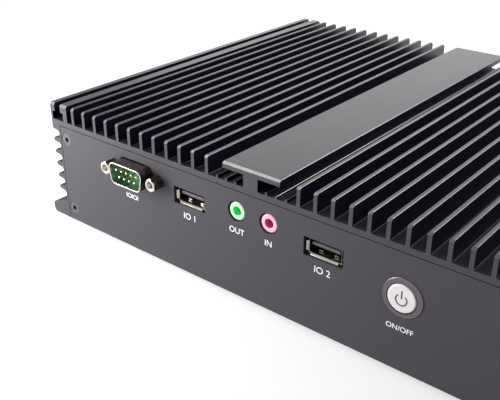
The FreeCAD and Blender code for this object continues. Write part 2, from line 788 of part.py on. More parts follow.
def screw_holes(body, plane, places, sides, thickness, name=""):
    """Countersunk holes through a plate that starts at zero along the plane's axis."""
    holes = [polygon(sides, x, z, SCREW_HOLE) for x, z in places]
    cut(body, f"{name}screw_holes", plane, holes, "0", thickness)
    mouths = [polygon(sides, x, z, f"{SCREW_HOLE} + {COUNTERSINK}") for x, z in places]
    cut(body, f"{name}countersinks", plane, mouths, "0", COUNTERSINK, COUNTERSINK_TAPER)


def end_panel(label, y, turn, openings):
    """A panel with its openings, its screw holes and their countersinks."""
    body = piece(label, y=y, turn=turn)
    outline = box(f"-{PANEL_HALF}", "0", PANEL_HALF, PANEL_TOP)
    pad(body, "plate", "XZ", [outline, *openings], "0", "panel_thickness")
    screw_holes(body, "XZ", panel_screw_places, SCREW_SIDES, "panel_thickness")


SERIAL_COLLAR = ("collar_top", "collar_height", "collar_round")
MONITOR_COLLAR = ("monitor_top", "monitor_height", "monitor_round")
sound_hole = "sound_nose / 2 + sound_gap"
front_openings = [
    *collar_opening(SERIAL_X, SERIAL_COLLAR),
    data_opening(LEFT_DATA_X),
    data_opening(RIGHT_DATA_X),
    circle("audio_x", f"{BOARD_TOP} + sound_rise", sound_hole),
    circle(MIC_X, f"{BOARD_TOP} + sound_rise", sound_hole),
    hidden_round(BUTTON_X, "button_height", f"{BARREL_OUT} + barrel_gap"),
]
end_panel("front_panel", FRONT, 0, front_openings)
network_opening = box(
    f"{NETWORK_X} - network_width / 2 - network_gap",
    f"{BOARD_TOP} - network_gap",
    f"{NETWORK_X} + network_width / 2 + network_gap",
    f"{BOARD_TOP} + network_height + network_gap",
)
rear_openings = [
    circle("inlet_x", f"{BOARD_TOP} + inlet_rise", "inlet_nose / 2 + inlet_gap"),
    *collar_opening(REAR_SERIAL_X[0], SERIAL_COLLAR),
    *collar_opening(REAR_SERIAL_X[1], SERIAL_COLLAR),
    *collar_opening(MONITOR_X, MONITOR_COLLAR),
    network_opening,
    data_opening(REAR_DATA_X[0]),
    data_opening(REAR_DATA_X[1]),
]
end_panel("rear_panel", REAR, 180, rear_openings)

# Bottom cover: a plate between the side walls, with the four mounting holes and the drive's screw holes.
bottom_cover = piece("bottom_cover")
cover_outline = box(f"-{COVER_HALF}", f"-{COVER_END}", COVER_HALF, COVER_END)
drive_screw_places = [(x, y) for x in both(DRIVE_SCREW_X) for y in both(DRIVE_SCREW_Y)]
arm_places = both("arm_spacing / 2")
arm_holes = [circle(x, y, "arm_hole / 2") for x in arm_places for y in arm_places]
pad(bottom_cover, "plate", "XY", [cover_outline, *arm_holes], "0", "cover_thickness")
screw_holes(bottom_cover, "XY", cover_screw_places, HIDDEN_SIDES, "cover_thickness")
screw_holes(bottom_cover, "XY", drive_screw_places, HIDDEN_SIDES, "cover_thickness", "drive_")


# Countersunk screws with a hexagonal socket, in groups of four.
def countersunk_screws(body, plane, places, sides, length):
    """Screws along a plane's axis, their heads' faces sunk a little below the plate's face."""
    neck = "screw_sink + (screw_head - screw_diameter) / 2"
    heads = [polygon(sides, x, z, "screw_head / 2") for x, z in places]
    pad(body, "heads", plane, heads, "screw_sink", neck, COUNTERSINK_TAPER)
    shanks = [polygon(sides, x, z, "screw_diameter / 2") for x, z in places]
    pad(body, "shanks", plane, shanks, neck, length)
    sockets = [hexagon("screw_socket", x, z) for x, z in places]
    cut(body, "sockets", plane, sockets, "screw_sink", "screw_sink + screw_socket_depth")


for label, y, turn in (("front_panel_screws", FRONT, 0), ("rear_panel_screws", REAR, 180)):
    countersunk_screws(piece(label, y=y, turn=turn), "XZ", panel_screw_places, SCREW_SIDES, "screw_length")
bottom_cover_screws = piece("bottom_cover_screws")
countersunk_screws(bottom_cover_screws, "XY", cover_screw_places, HIDDEN_SIDES, "cover_screw_length")
drive_screws = piece("drive_screws")
drive_screw_end = "cover_thickness + drive_screw_grip"
countersunk_screws(drive_screws, "XY", drive_screw_places, HIDDEN_SIDES, drive_screw_end)

# Rubber feet: four tapered discs, stuck to the bottom cover.
FOOT_X = f"({COVER_HALF} - foot_side_inset)"
FOOT_Y = f"({COVER_END} - foot_end_inset)"
foot = [
    ("0", "0"),
    ("foot_diameter / 2 - foot_taper", "0"),
    ("foot_diameter / 2", "foot_height"),
    ("0", "foot_height"),
]
foot_places = [(x, y) for y in (f"-{FOOT_Y}", FOOT_Y) for x in (f"-{FOOT_X}", FOOT_X)]
for place, (x, y) in enumerate(foot_places, start=1):
    rubber_foot = piece(f"rubber_foot_{place}", x, y, "0")
    revolve(rubber_foot, "disc", "XZ", foot)


# Collared ports: a drawn shell whose plate lies behind the panel, a moulded insert that stands on the board,
# pins and hexagonal jackscrews that clamp the panel between themselves and the plate.
def row(count, pitch, z, shift="0"):
    """Places of a centred row."""
    return [(f"({place - (count - 1) / 2}) * {pitch} + {shift}", z) for place in range(count)]


def collar_shell(label, x, collar, rear):
    """A plate with a hollow D collar through the panel."""
    body = port_piece(label, x, SERIAL_RISE, rear)
    inside = d_shape(*collar, inset="collar_wall")
    jack_thread = "jack_stud / 2 + thread_clearance"
    threads = [hidden_round(place, "0", jack_thread) for place in both("jack_spacing / 2")]
    plate = centred(PLATE_WIDTH, "plate_height")
    pad(body, "plate", "XZ", [plate, inside, *threads], "panel_thickness", PORT_BACK)
    pad(body, "collar", "XZ", [d_shape(*collar), inside], "-collar_reach", "panel_thickness")


def collar_insert(label, x, collar, face, rear):
    """A moulded plug in the collar, with a block behind the plate."""
    body = port_piece(label, x, SERIAL_RISE, rear)
    plug = d_shape(*collar, inset="collar_wall + insert_gap")
    pad(body, "plug", "XZ", [plug], face, PORT_BACK)
    side = "(jack_spacing / 2 - jack_stud / 2 - port_body_margin)"
    block = box(f"-{side}", f"-{SERIAL_RISE}", side, "plate_height / 2 - port_body_margin")
    pad(body, "block", "XZ", [block], PORT_BACK, f"{PORT_BACK} + port_body_depth")
    return body


def jackscrews(label, ports, rear):
    """Hexagonal jackscrews on both sides of each port."""
    body = port_piece(label, "0", SERIAL_RISE, rear)
    places = [f"{x} {sign} jack_spacing / 2" for x in ports for sign in "-+"]
    pad(body, "hexagons", "XZ", [hexagon("jack_flats", place) for place in places], "-jack_reach", "0")
    studs = [hidden_round(place, "0", "jack_stud / 2") for place in places]
    pad(body, "studs", "XZ", studs, "0", "jack_stud_length")
    bores = [circle(place, "0", "jack_bore / 2") for place in places]
    cut(body, "bores", "XZ", bores, "-jack_reach", "jack_bore_depth - jack_reach")


def serial_port(label, x, rear):
    """The shell, insert and pins of a nine-pin port: five pins over four, standing on the insert's face."""
    collar_shell(f"{label}_shell", x, SERIAL_COLLAR, rear)
    collar_insert(f"{label}_insert", x, SERIAL_COLLAR, "0", rear)
    pins = port_piece(f"{label}_pins", x, SERIAL_RISE, rear)
    places = row(5, "pin_pitch", "pin_row_gap / 2") + row(4, "pin_pitch", "-pin_row_gap / 2")
    loops = [hidden_round(place_x, place_z, "pin_diameter / 2") for place_x, place_z in places]
    pad(pins, "rows", "XZ", loops, "pin_recess - collar_reach", "0")


serial_port("serial_port", SERIAL_X, False)
jackscrews("serial_port_jackscrews", [SERIAL_X], False)
for place, x in enumerate(REAR_SERIAL_X, start=1):
    serial_port(f"rear_serial_port_{place}", x, True)
collar_shell("monitor_port_shell", MONITOR_X, MONITOR_COLLAR, True)
monitor_face = "(monitor_recess - collar_reach)"
monitor_insert = collar_insert("monitor_port_insert", MONITOR_X, MONITOR_COLLAR, monitor_face, True)
monitor_places = [
    *row(5, "monitor_pitch", "monitor_row_gap", "monitor_pitch / 4"),
    *row(5, "monitor_pitch", "0", "-monitor_pitch / 4"),
    *row(5, "monitor_pitch", "-monitor_row_gap", "monitor_pitch / 4"),
]
monitor_holes = [hidden_round(x, z, "monitor_hole / 2") for x, z in monitor_places]
cut(monitor_insert, "holes", "XZ", monitor_holes, monitor_face, f"{monitor_face} + monitor_hole_depth")
jackscrews("rear_jackscrews", [*REAR_SERIAL_X, MONITOR_X], True)

# Data ports: a folded sheet shell with flared lips and sprung fingers, a moulded tongue whose heel and base
# stand on the board, and four flat contacts under the tongue.
DATA_MOUTH = "(data_recess + data_lip)"
DATA_END = f"({DATA_MOUTH} + data_depth)"
DATA_IN = "(data_width / 2 - data_sheet)"
TONGUE_TOP = "(data_height / 2 - data_sheet - tongue_top_gap)"
TONGUE_UNDER = f"({TONGUE_TOP} - tongue_thickness)"
TONGUE_ROOT = f"({DATA_END} - data_back)"
FINGER_ROOT = f"({DATA_MOUTH} + finger_setback + finger_length)"


def data_shell(label, x, rear):
    """The folded shell."""
    body = port_piece(label, x, DATA_RISE, rear)
    outside = centred("data_width", "data_height")
    inside = centred("data_width - 2 * data_sheet", "data_height - 2 * data_sheet")
    pad(body, "tube", "XZ", [outside, inside], DATA_MOUTH, DATA_END)
    lip = [
        (DATA_MOUTH, "data_height / 2 - data_sheet"),
        (DATA_MOUTH, "data_height / 2"),
        ("data_recess", "data_height / 2 + data_flare"),
        ("data_recess", "data_height / 2 + data_flare - data_sheet"),
    ]
    lower_lip = [(y, f"-({z})") for y, z in lip]
    lip_end = "(data_width / 2 - data_lip_corner)"
    pad(body, "level_lips", "YZ", [lip, lower_lip], f"-{lip_end}", lip_end)
    side_lip = [
        (DATA_IN, DATA_MOUTH),
        ("data_width / 2", DATA_MOUTH),
        ("data_width / 2 + data_flare", "data_recess"),
        (f"{DATA_IN} + data_flare", "data_recess"),
    ]
    side_end = "(data_height / 2 - data_lip_corner)"
    pad(body, "side_lips", "XY", [side_lip, flip(side_lip)], f"-{side_end}", side_end)
    window = box(
        "finger_x - finger_width / 2 - finger_slit",
        f"{DATA_MOUTH} + finger_setback",
        "finger_x + finger_width / 2 + finger_slit",
        FINGER_ROOT,
    )
    cut(body, "windows", "XY", [window, flip(window)], "-data_height / 2", "data_height / 2")
    finger = [
        (f"{FINGER_ROOT} + finger_slit", "data_height / 2"),
        (f"{FINGER_ROOT} + finger_slit", "data_height / 2 - data_sheet"),
        (f"{DATA_MOUTH} + finger_setback + finger_slit", "data_height / 2 - data_sheet - finger_rise"),
        (f"{DATA_MOUTH} + finger_setback + finger_slit", "data_height / 2 - finger_rise"),
    ]
    lower_finger = [(y, f"-({z})") for y, z in finger]
    pair = [finger, lower_finger]
    first = pad(body, "finger", "YZ", pair, "finger_x - finger_width / 2", "finger_x + finger_width / 2")
    repeat(body, "fingers", first, ("-X", "2 * finger_x", "2"))


def data_tongue(label, x, rear):
    """The moulded tongue with its back, heel and base."""
    body = port_piece(label, x, DATA_RISE, rear)
    skin = "2 * (data_sheet + insert_gap)"
    back = centred(f"data_width - {skin}", f"data_height - {skin}")
    pad(body, "back", "XZ", [back], TONGUE_ROOT, DATA_END)
    tongue = box("-tongue_width / 2", TONGUE_UNDER, "tongue_width / 2", TONGUE_TOP)
    pad(body, "tongue", "XZ", [tongue], f"{TONGUE_ROOT} - tongue_length", TONGUE_ROOT)
    heel = box(f"-{DATA_IN}", f"-{DATA_RISE}", DATA_IN, "data_height / 2 - data_sheet")
    pad(body, "heel", "XZ", [heel], DATA_END, f"{DATA_END} + data_heel")
    base = box(f"-{DATA_IN}", f"-{DATA_RISE}", DATA_IN, "-data_height / 2")
    pad(body, "base", "XZ", [base], "panel_thickness + board_end_gap", DATA_END)


def data_contacts(label, x, rear):
    """Four flat contacts along the underside of the tongue."""
    body = port_piece(label, x, DATA_RISE, rear)
    middle = f"{TONGUE_UNDER} - contact_sheet / 2"
    places = both("contact_near", "contact_far")
    strips = [centred("contact_width", "contact_sheet", x=place, z=middle) for place in places]
    pad(body, "strips", "XZ", strips, f"{TONGUE_ROOT} - contact_length", TONGUE_ROOT)


data_ports = [
    ("left_data_port", LEFT_DATA_X, False),
    ("right_data_port", RIGHT_DATA_X, False),
    ("rear_data_port_1", REAR_DATA_X[0], True),
    ("rear_data_port_2", REAR_DATA_X[1], True),
]
for label, x, rear in data_ports:
    data_shell(f"{label}_shell", x, rear)
    data_tongue(f"{label}_tongue", x, rear)
    data_contacts(f"{label}_contacts", x, rear)

# Sound jacks: a moulded block on the board with a round nose in the panel's hole.
for label, x in (("audio_jack", "audio_x"), ("mic_jack", MIC_X)):
    jack = port_piece(label, x, "sound_rise", False)
    block_face = "(panel_thickness + sound_gap)"
    block = box("-sound_body_width / 2", "-sound_rise", "sound_body_width / 2", "sound_body_above")
    pad(jack, "block", "XZ", [block], block_face, f"{block_face} + sound_body_depth")
    pad(jack, "nose", "XZ", [circle("0", "0", "sound_nose / 2")], "sound_recess", block_face)
    chamfer_rim(jack, "sound_edge", "sound_recess", "sound_nose / 2")
    bore = [circle("0", "0", "sound_bore / 2")]
    cut(jack, "bore", "XZ", bore, "sound_recess", "sound_recess + sound_bore_depth")

# Power button: a bezel whose barrel goes through the panel, a nut behind it, a cap held in the barrel by its
# collar, and a switch in the barrel's end that the cap presses.
LIP_BACK = "(lip_thickness - bezel_reach)"
CAP_SEAT = f"({LIP_BACK} + cap_seat_gap)"
CAP_BACK = f"({CAP_SEAT} + cap_collar_length)"
PLUNGER_TIP = f"({CAP_BACK} + cap_travel + plunger_gap)"
BEZEL_RADIUS = f"({BARREL_OUT} + bezel_overlap)"


def button_piece(label):
    """A sub-part of the button: its origin is on the panel's outer face in the button's middle."""
    return piece(label, BUTTON_X, FRONT, "foot_height + button_height")


power_bezel = button_piece("power_bezel")
bezel = [
    (f"{CAP_RADIUS} + cap_gap", "-bezel_reach"),
    (f"{BEZEL_RADIUS} - bezel_edge", "-bezel_reach"),
    (BEZEL_RADIUS, "bezel_edge - bezel_reach"),
    (BEZEL_RADIUS, "0"),
    (BARREL_OUT, "0"),
    (BARREL_OUT, "barrel_length"),
    (BARREL_IN, "barrel_length"),
    (BARREL_IN, LIP_BACK),
    (f"{CAP_RADIUS} + cap_gap", LIP_BACK),
]
revolve(power_bezel, "turning", "XY", bezel)
power_cap = button_piece("power_cap")
cap = [
    ("0", "-cap_reach"),
    (f"{CAP_RADIUS} - cap_edge", "-cap_reach"),
    (CAP_RADIUS, "cap_edge - cap_reach"),
    (CAP_RADIUS, CAP_SEAT),
    (f"{CAP_RADIUS} + cap_collar", CAP_SEAT),
    (f"{CAP_RADIUS} + cap_collar", CAP_BACK),
    ("0", CAP_BACK),
]
revolve(power_cap, "turning", "XY", cap)
power_nut = button_piece("power_nut")
nut = [hexagon(NUT_FLATS), hidden_round("0", "0", f"{BARREL_OUT} + thread_clearance")]
pad(power_nut, "hexagon", "XZ", nut, "panel_thickness", "panel_thickness + nut_thickness")
power_switch = button_piece("power_switch")
switch_start = f"{PLUNGER_TIP} + plunger_length"
switch_radius = f"({BARREL_IN} - barrel_gap) * cos({180 / HIDDEN_SIDES} deg)"
plunger = hidden_round("0", "0", "plunger_diameter / 2")
pad(power_switch, "plunger", "XZ", [plunger], PLUNGER_TIP, switch_start)
pad(power_switch, "body", "XZ", [hidden_round("0", "0", switch_radius)], switch_start, "barrel_length")
pad(power_switch, "flange", "XZ", [hidden_round("0", "0", BARREL_OUT)], "barrel_length", SWITCH_BACK)
power_terminals = button_piece("power_terminals")
blades = [centred("terminal_sheet", "terminal_width", x=place) for place in both("terminal_spacing / 2")]
pad(power_terminals, "blades", "XZ", blades, SWITCH_BACK, SWITCH_END)

# Power inlet: a moulded block with a round mouth and a centre pin.
INLET_FACE = "(panel_thickness + inlet_gap)"
power_inlet = port_piece("power_inlet", "inlet_x", "inlet_rise", True)
inlet_block = box("-inlet_width / 2", "-inlet_rise", "inlet_width / 2", "inlet_above")
pad(power_inlet, "block", "XZ", [inlet_block], INLET_FACE, f"{INLET_FACE} + inlet_depth")
pad(power_inlet, "nose", "XZ", [circle("0", "0", "inlet_nose / 2")], "inlet_recess", INLET_FACE)
inlet_end = "(inlet_recess + inlet_bore_depth)"
cut(power_inlet, "bore", "XZ", [circle("0", "0", "inlet_bore / 2")], "inlet_recess", inlet_end)
power_inlet_pin = port_piece("power_inlet_pin", "inlet_x", "inlet_rise", True)
pin_start = "inlet_recess + inlet_pin_setback"
pad(power_inlet_pin, "pin", "XZ", [circle("0", "0", "inlet_pin / 2")], pin_start, inlet_end)

# Network port: a sheet shell, a moulded insert with the plug's cavity and latch notch, and eight wires.
NETWORK_END = "(network_recess + network_depth)"
CAVE_MOUTH = "(network_recess + network_gap)"
CAVE_END = f"({CAVE_MOUTH} + cave_depth)"
CAVE_ROOF = "(cave_rise + cave_height)"
network_shell = port_piece("network_port_shell", NETWORK_X, "0", True)
network_outside = box("-network_width / 2", "0", "network_width / 2", "network_height")
network_side = "(network_width / 2 - network_sheet)"
network_inside = box(f"-{network_side}", "network_sheet", network_side, "network_height - network_sheet")
pad(network_shell, "tube", "XZ", [network_outside, network_inside], "network_recess", NETWORK_END)
network_insert = port_piece("network_port_insert", NETWORK_X, "0", True)
insert_side = f"({network_side} - insert_gap)"
insert_roof = "network_height - network_sheet - insert_gap"
insert_outline = box(f"-{insert_side}", "network_sheet", insert_side, insert_roof)
pad(network_insert, "block", "XZ", [insert_outline], CAVE_MOUTH, NETWORK_END)
cave = [
    ("latch_width / 2", "cave_rise - latch_height"),
    ("latch_width / 2", "cave_rise"),
    ("cave_width / 2", "cave_rise"),
    ("cave_width / 2", CAVE_ROOF),
]
cut(network_insert, "cavity", "XZ", [symmetric(cave)], CAVE_MOUTH, CAVE_END)
network_contacts = port_piece("network_port_contacts", NETWORK_X, "0", True)
wire = [
    (CAVE_END, CAVE_ROOF),
    (CAVE_END, f"{CAVE_ROOF} - wire_width"),
    (f"{CAVE_END} - wire_length", f"{CAVE_ROOF} - wire_width - wire_drop"),
    (f"{CAVE_END} - wire_length", f"{CAVE_ROOF} - wire_drop"),
]
wire_left = "(-3.5 * wire_pitch - wire_width / 2)"
first_wire = pad(network_contacts, "wire", "YZ", [wire], wire_left, f"{wire_left} + wire_width")
repeat(network_contacts, "wires", first_wire, ("X", "7 * wire_pitch", "8"))

# Main board: hangs under the deck on six standoffs and is notched around the power button.
main_board = piece("main_board")
notch_side = f"({NUT_FLATS} / sqrt(3) + notch_margin)"
notch_end = f"({FRONT} + {SWITCH_END} + notch_margin)"
board = [
    (f"-{BOARD_HALF}", f"-{BOARD_END}"),
    (f"{BUTTON_X} - {notch_side}", f"-{BOARD_END}"),
    (f"{BUTTON_X} - {notch_side}", notch_end),
    (f"{BUTTON_X} + {notch_side}", notch_end),
    (f"{BUTTON_X} + {notch_side}", f"-{BOARD_END}"),
    (BOARD_HALF, f"-{BOARD_END}"),
    (BOARD_HALF, BOARD_END),
    (f"-{BOARD_HALF}", BOARD_END),
]
board_holes = [hidden_round(x, y, SCREW_HOLE) for x, y in standoff_places]
pad(main_board, "sheet", "XY", [board, *board_holes], BOARD_UNDER, BOARD_TOP)
board_standoffs = piece("board_standoffs")
posts = [hexagon("standoff_flats", x, y) for x, y in standoff_places]
pad(board_standoffs, "posts", "XY", posts, BOARD_TOP, DECK_UNDER)
studs = [hidden_round(x, y, "screw_diameter / 2") for x, y in standoff_places]
pad(board_standoffs, "studs", "XY", studs, DECK_UNDER, f"{DECK_UNDER} + stud_length")
thread_top = f"{BOARD_TOP} + board_screw_grip + screw_spare"
cut(board_standoffs, "threads", "XY", standoff_threads, BOARD_TOP, thread_top)
board_screws = piece("board_screws")
heads = [hidden_round(x, y, "board_screw_head / 2") for x, y in standoff_places]
pad(board_screws, "heads", "XY", heads, f"{BOARD_UNDER} - board_screw_head_height", BOARD_UNDER)
pad(board_screws, "shanks", "XY", studs, BOARD_UNDER, f"{BOARD_TOP} + board_screw_grip")

# Heat path: the processor on the board, a thermal pad and a solid block that presses against the deck.
PAD_UNDER = f"({BOARD_TOP} + processor_height)"
BLOCK_UNDER = f"({PAD_UNDER} + pad_height)"
processor = piece("processor")
pad(processor, "package", "XY", [centred("processor_size", "processor_size")], BOARD_TOP, PAD_UNDER)
thermal_pad = piece("thermal_pad")
pad(thermal_pad, "sheet", "XY", [centred("pad_size", "pad_size")], PAD_UNDER, BLOCK_UNDER)
heat_block = piece("heat_block")
pad(heat_block, "block", "XY", [centred("block_size", "block_size")], BLOCK_UNDER, DECK_UNDER)

# Memory: a socket under the board and a module pushed level into it.
SOCKET_REAR = "(memory_y + socket_depth / 2)"
MODULE_TOP = f"({BOARD_UNDER} - memory_drop)"
MODULE_UNDER = f"({MODULE_TOP} - memory_sheet)"
MODULE_FRONT = f"({SOCKET_REAR} - memory_grip)"
memory_socket = piece("memory_socket")
socket_outline = centred("memory_width + 2 * socket_margin", "socket_depth", z="memory_y")
pad(memory_socket, "block", "XY", [socket_outline], f"{BOARD_UNDER} - socket_height", BOARD_UNDER)
slot_side = "(memory_width / 2 + memory_gap)"
module_slot = box(f"-{slot_side}", f"{MODULE_UNDER} - memory_gap", slot_side, f"{MODULE_TOP} + memory_gap")
cut(memory_socket, "slot", "XZ", [module_slot], MODULE_FRONT, SOCKET_REAR)
memory_module = piece("memory_module")
module = box("-memory_width / 2", MODULE_FRONT, "memory_width / 2", f"{MODULE_FRONT} + memory_depth")
pad(memory_module, "sheet", "XY", [module], MODULE_UNDER, MODULE_TOP)

# Coin cell: a round cell in a square, open holder on the board.
CELL_UNDER = f"({BOARD_TOP} + holder_floor)"
CELL_TOP = f"({CELL_UNDER} + cell_height)"
cell_holder = piece("cell_holder")
holder_size = "cell_diameter + 2 * (cell_gap + holder_wall)"
holder_outline = centred(holder_size, holder_size, x="cell_x", z="cell_y")
pad(cell_holder, "block", "XY", [holder_outline], BOARD_TOP, CELL_TOP)
recess = circle("cell_x", "cell_y", "cell_diameter / 2 + cell_gap")
cut(cell_holder, "recess", "XY", [recess], CELL_UNDER, CELL_TOP)
coin_cell = piece("coin_cell")
pad(coin_cell, "disc", "XY", [circle("cell_x", "cell_y", "cell_diameter / 2")], CELL_UNDER, CELL_TOP)

# Storage drive: lies on the bottom cover and is screwed to it from below.
storage_drive = piece("storage_drive")
drive_outline = centred("drive_width", "drive_length")
pad(storage_drive, "case", "XY", [drive_outline], "cover_thickness", "cover_thickness + drive_height")
drive_threads = [hidden_round(x, y, SCREW_THREAD) for x, y in drive_screw_places]
drive_thread_end = "cover_thickness + drive_screw_grip + screw_spare"
cut(storage_drive, "threads", "XY", drive_threads, "cover_thickness", drive_thread_end)

# Every feature has to be sound before the pieces are written.
doc.recompute()
for item in doc.Objects:
    if "Invalid" in item.State or "Error" in item.State:
        raise ValueError(f"{item.Label} is not sound: {item.State}")
for body in pieces:
    if body.Shape.isNull() or not body.Shape.isValid():
        raise ValueError(f"{body.Label} has no valid shape")
os.makedirs("parts", exist_ok=True)
for body in pieces:
    body.Shape.exportStep(f"parts/{body.Label}.step")
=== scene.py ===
"""Fanless finned box computer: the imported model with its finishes, broken edges, fasteners and marks."""
import json
import math

import bpy
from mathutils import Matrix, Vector

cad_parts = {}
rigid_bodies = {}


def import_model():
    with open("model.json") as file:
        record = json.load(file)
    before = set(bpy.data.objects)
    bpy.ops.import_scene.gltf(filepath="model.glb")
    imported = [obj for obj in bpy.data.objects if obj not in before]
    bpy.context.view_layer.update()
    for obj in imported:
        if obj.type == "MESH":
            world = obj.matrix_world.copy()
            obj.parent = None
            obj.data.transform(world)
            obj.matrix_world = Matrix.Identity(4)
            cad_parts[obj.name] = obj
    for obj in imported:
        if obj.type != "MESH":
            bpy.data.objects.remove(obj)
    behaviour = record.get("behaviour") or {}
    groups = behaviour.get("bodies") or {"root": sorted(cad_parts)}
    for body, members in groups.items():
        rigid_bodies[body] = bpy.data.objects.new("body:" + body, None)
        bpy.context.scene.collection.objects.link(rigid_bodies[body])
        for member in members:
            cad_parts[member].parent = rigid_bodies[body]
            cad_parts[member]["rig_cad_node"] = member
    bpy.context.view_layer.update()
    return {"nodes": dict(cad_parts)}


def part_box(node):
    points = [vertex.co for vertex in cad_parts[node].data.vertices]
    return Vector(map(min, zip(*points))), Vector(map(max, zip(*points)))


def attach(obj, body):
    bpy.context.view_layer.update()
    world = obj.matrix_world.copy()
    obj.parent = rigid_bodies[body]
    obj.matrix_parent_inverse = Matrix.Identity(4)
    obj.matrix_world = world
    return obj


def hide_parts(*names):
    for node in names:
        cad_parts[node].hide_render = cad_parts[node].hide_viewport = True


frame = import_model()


# Housing: one length of extruded aluminium with tall fins, a flat centre bar, nut slots and toothed sides.
# It is anodised black over the faint lines of the die. The floors between the fins take a duller copy,
# painted shade in the valleys, and the small chamfers at the fins' feet take the lighter satin, a painted
# highlight along each foot.
# Both ends are milled flat and blasted satin, with a bright milled chamfer above.
MM = 0.001
NEAR = 0.05 * MM
JOIN_GAP = 0.002 * MM
ONE_PLANE = math.radians(0.4)
CREASE = math.radians(25)
NOISE_LOW = 0.3
NOISE_HIGH = 0.7
DECK_TOP = 48.7 * MM
FLOOR_TOP = 49 * MM
FIN_FIRST = 20 * MM
FIN_PITCH = 6.66 * MM
FIN_COUNT = 12
FIN_HALF = 0.875 * MM
FIN_ROOT = 0.45 * MM
SLIM_HALF = 0.75 * MM
SLIM_ROOT = 0.15 * MM
END_FACING = 0.95
CHAMFER_FACING = 0.5
FLOOR_FACING = 0.9
FOOT_FACING = 0.2


def new_finish(name, colour, roughness, metallic=0.0, ior=1.5):
    """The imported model's plain material of that name, or a new one, with its shader's own sockets set."""
    finish = bpy.data.materials.get(name) or bpy.data.materials.new(name)
    finish.use_nodes = True
    shader = finish.node_tree.nodes["Principled BSDF"]
    shader.inputs["Base Color"].default_value = (*colour, 1)
    shader.inputs["Roughness"].default_value = roughness
    shader.inputs["Metallic"].default_value = metallic
    shader.inputs["IOR"].default_value = ior
    return finish


def streaks(finish, spots, detail=3):
    """A noise over the piece's own coordinates, with so many spots to the metre along each axis."""
    nodes = finish.node_tree.nodes
    links = finish.node_tree.links
    place = nodes.new("ShaderNodeTexCoord")
    fit = nodes.new("ShaderNodeMapping")
    noise = nodes.new("ShaderNodeTexNoise")
    fit.inputs["Scale"].default_value = spots
    noise.inputs["Scale"].default_value = 1
    noise.inputs["Detail"].default_value = detail
    links.new(place.outputs["Object"], fit.inputs["Vector"])
    links.new(fit.outputs["Vector"], noise.inputs["Vector"])
    return noise.outputs["Fac"]


def speckle(finish, spots, detail=3):
    """The same noise, even in all directions."""
    return streaks(finish, (spots, spots, spots), detail)


def shade_colour(finish, pattern, dark, light):
    """The base colour follows a pattern from a dark to a light tone."""
    nodes = finish.node_tree.nodes
    ramp = nodes.new("ShaderNodeValToRGB")
    ramp.color_ramp.elements[0].position = NOISE_LOW
    ramp.color_ramp.elements[0].color = (*dark, 1)
    ramp.color_ramp.elements[1].position = NOISE_HIGH
    ramp.color_ramp.elements[1].color = (*light, 1)
    finish.node_tree.links.new(pattern, ramp.inputs["Fac"])
    finish.node_tree.links.new(ramp.outputs["Color"], nodes["Principled BSDF"].inputs["Base Color"])


def vary_roughness(finish, pattern, low, high):
    """The roughness follows a pattern between two values."""
    nodes = finish.node_tree.nodes
    span = nodes.new("ShaderNodeMapRange")
    span.inputs["From Min"].default_value = NOISE_LOW
    span.inputs["From Max"].default_value = NOISE_HIGH
    span.inputs["To Min"].default_value = low
    span.inputs["To Max"].default_value = high
    finish.node_tree.links.new(pattern, span.inputs["Value"])
    finish.node_tree.links.new(span.outputs["Result"], nodes["Principled BSDF"].inputs["Roughness"])


def emboss(finish, pattern, height):
    """A relief as high as given, in metres."""
    nodes = finish.node_tree.nodes
    bump = nodes.new("ShaderNodeBump")
    bump.inputs["Strength"].default_value = 1
    bump.inputs["Distance"].default_value = height
    finish.node_tree.links.new(pattern, bump.inputs["Height"])
    finish.node_tree.links.new(bump.outputs["Normal"], nodes["Principled BSDF"].inputs["Normal"])


def dress(piece, *finishes):
    """The piece gets these finishes in its slots, the first one all over."""
    piece.data.materials.clear()
    for finish in finishes:
        piece.data.materials.append(finish)


def pick(*pieces):
    """Only these pieces are selected, and the last one is active."""
    bpy.ops.object.select_all(action="DESELECT")
    for piece in pieces:
        piece.select_set(True)
        bpy.context.view_layer.objects.active = piece


def fit_out(piece, node, finish, body="case"):
    """A new piece takes a node's place on a body, in this finish unless it is dressed already."""
    if not piece.data.materials:
        dress(piece, finish)
    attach(piece, body)
    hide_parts(node)


def break_edges(piece, width, steps=2, sharper=CREASE, edge_slot=-1):
    """Edges sharper than an angle get a narrow bevel, in a slot of its own if one is given.

    The large faces between stay flat in shading, and the bevel rounds off from one to the next."""
    pick(piece)
    bpy.ops.object.shade_smooth_by_angle(angle=CREASE)
    bevel = piece.modifiers.new("edges", "BEVEL")
    bevel.width = width
    bevel.segments = steps
    bevel.limit_method = "ANGLE"
    bevel.angle_limit = sharper
    bevel.material = edge_slot
    bpy.ops.object.modifier_apply(modifier=bevel.name)
    flats = piece.modifiers.new("flats", "WEIGHTED_NORMAL")
    flats.weight = 100
    flats.keep_sharp = True
    bpy.ops.object.modifier_apply(modifier=flats.name)


def merged_copy(node):
    """A copy of a CAD node with its facets joined."""
    pick(frame["nodes"][node])
    bpy.ops.object.duplicate()
    piece = bpy.context.object
    piece.name = f"{node}_finished"
    del piece["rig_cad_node"]
    bpy.ops.object.mode_set(mode="EDIT")
    bpy.ops.mesh.select_all(action="SELECT")
    bpy.ops.mesh.remove_doubles(threshold=JOIN_GAP)
    bpy.ops.mesh.dissolve_limited(angle_limit=ONE_PLANE)
    bpy.ops.object.mode_set(mode="OBJECT")
    return piece


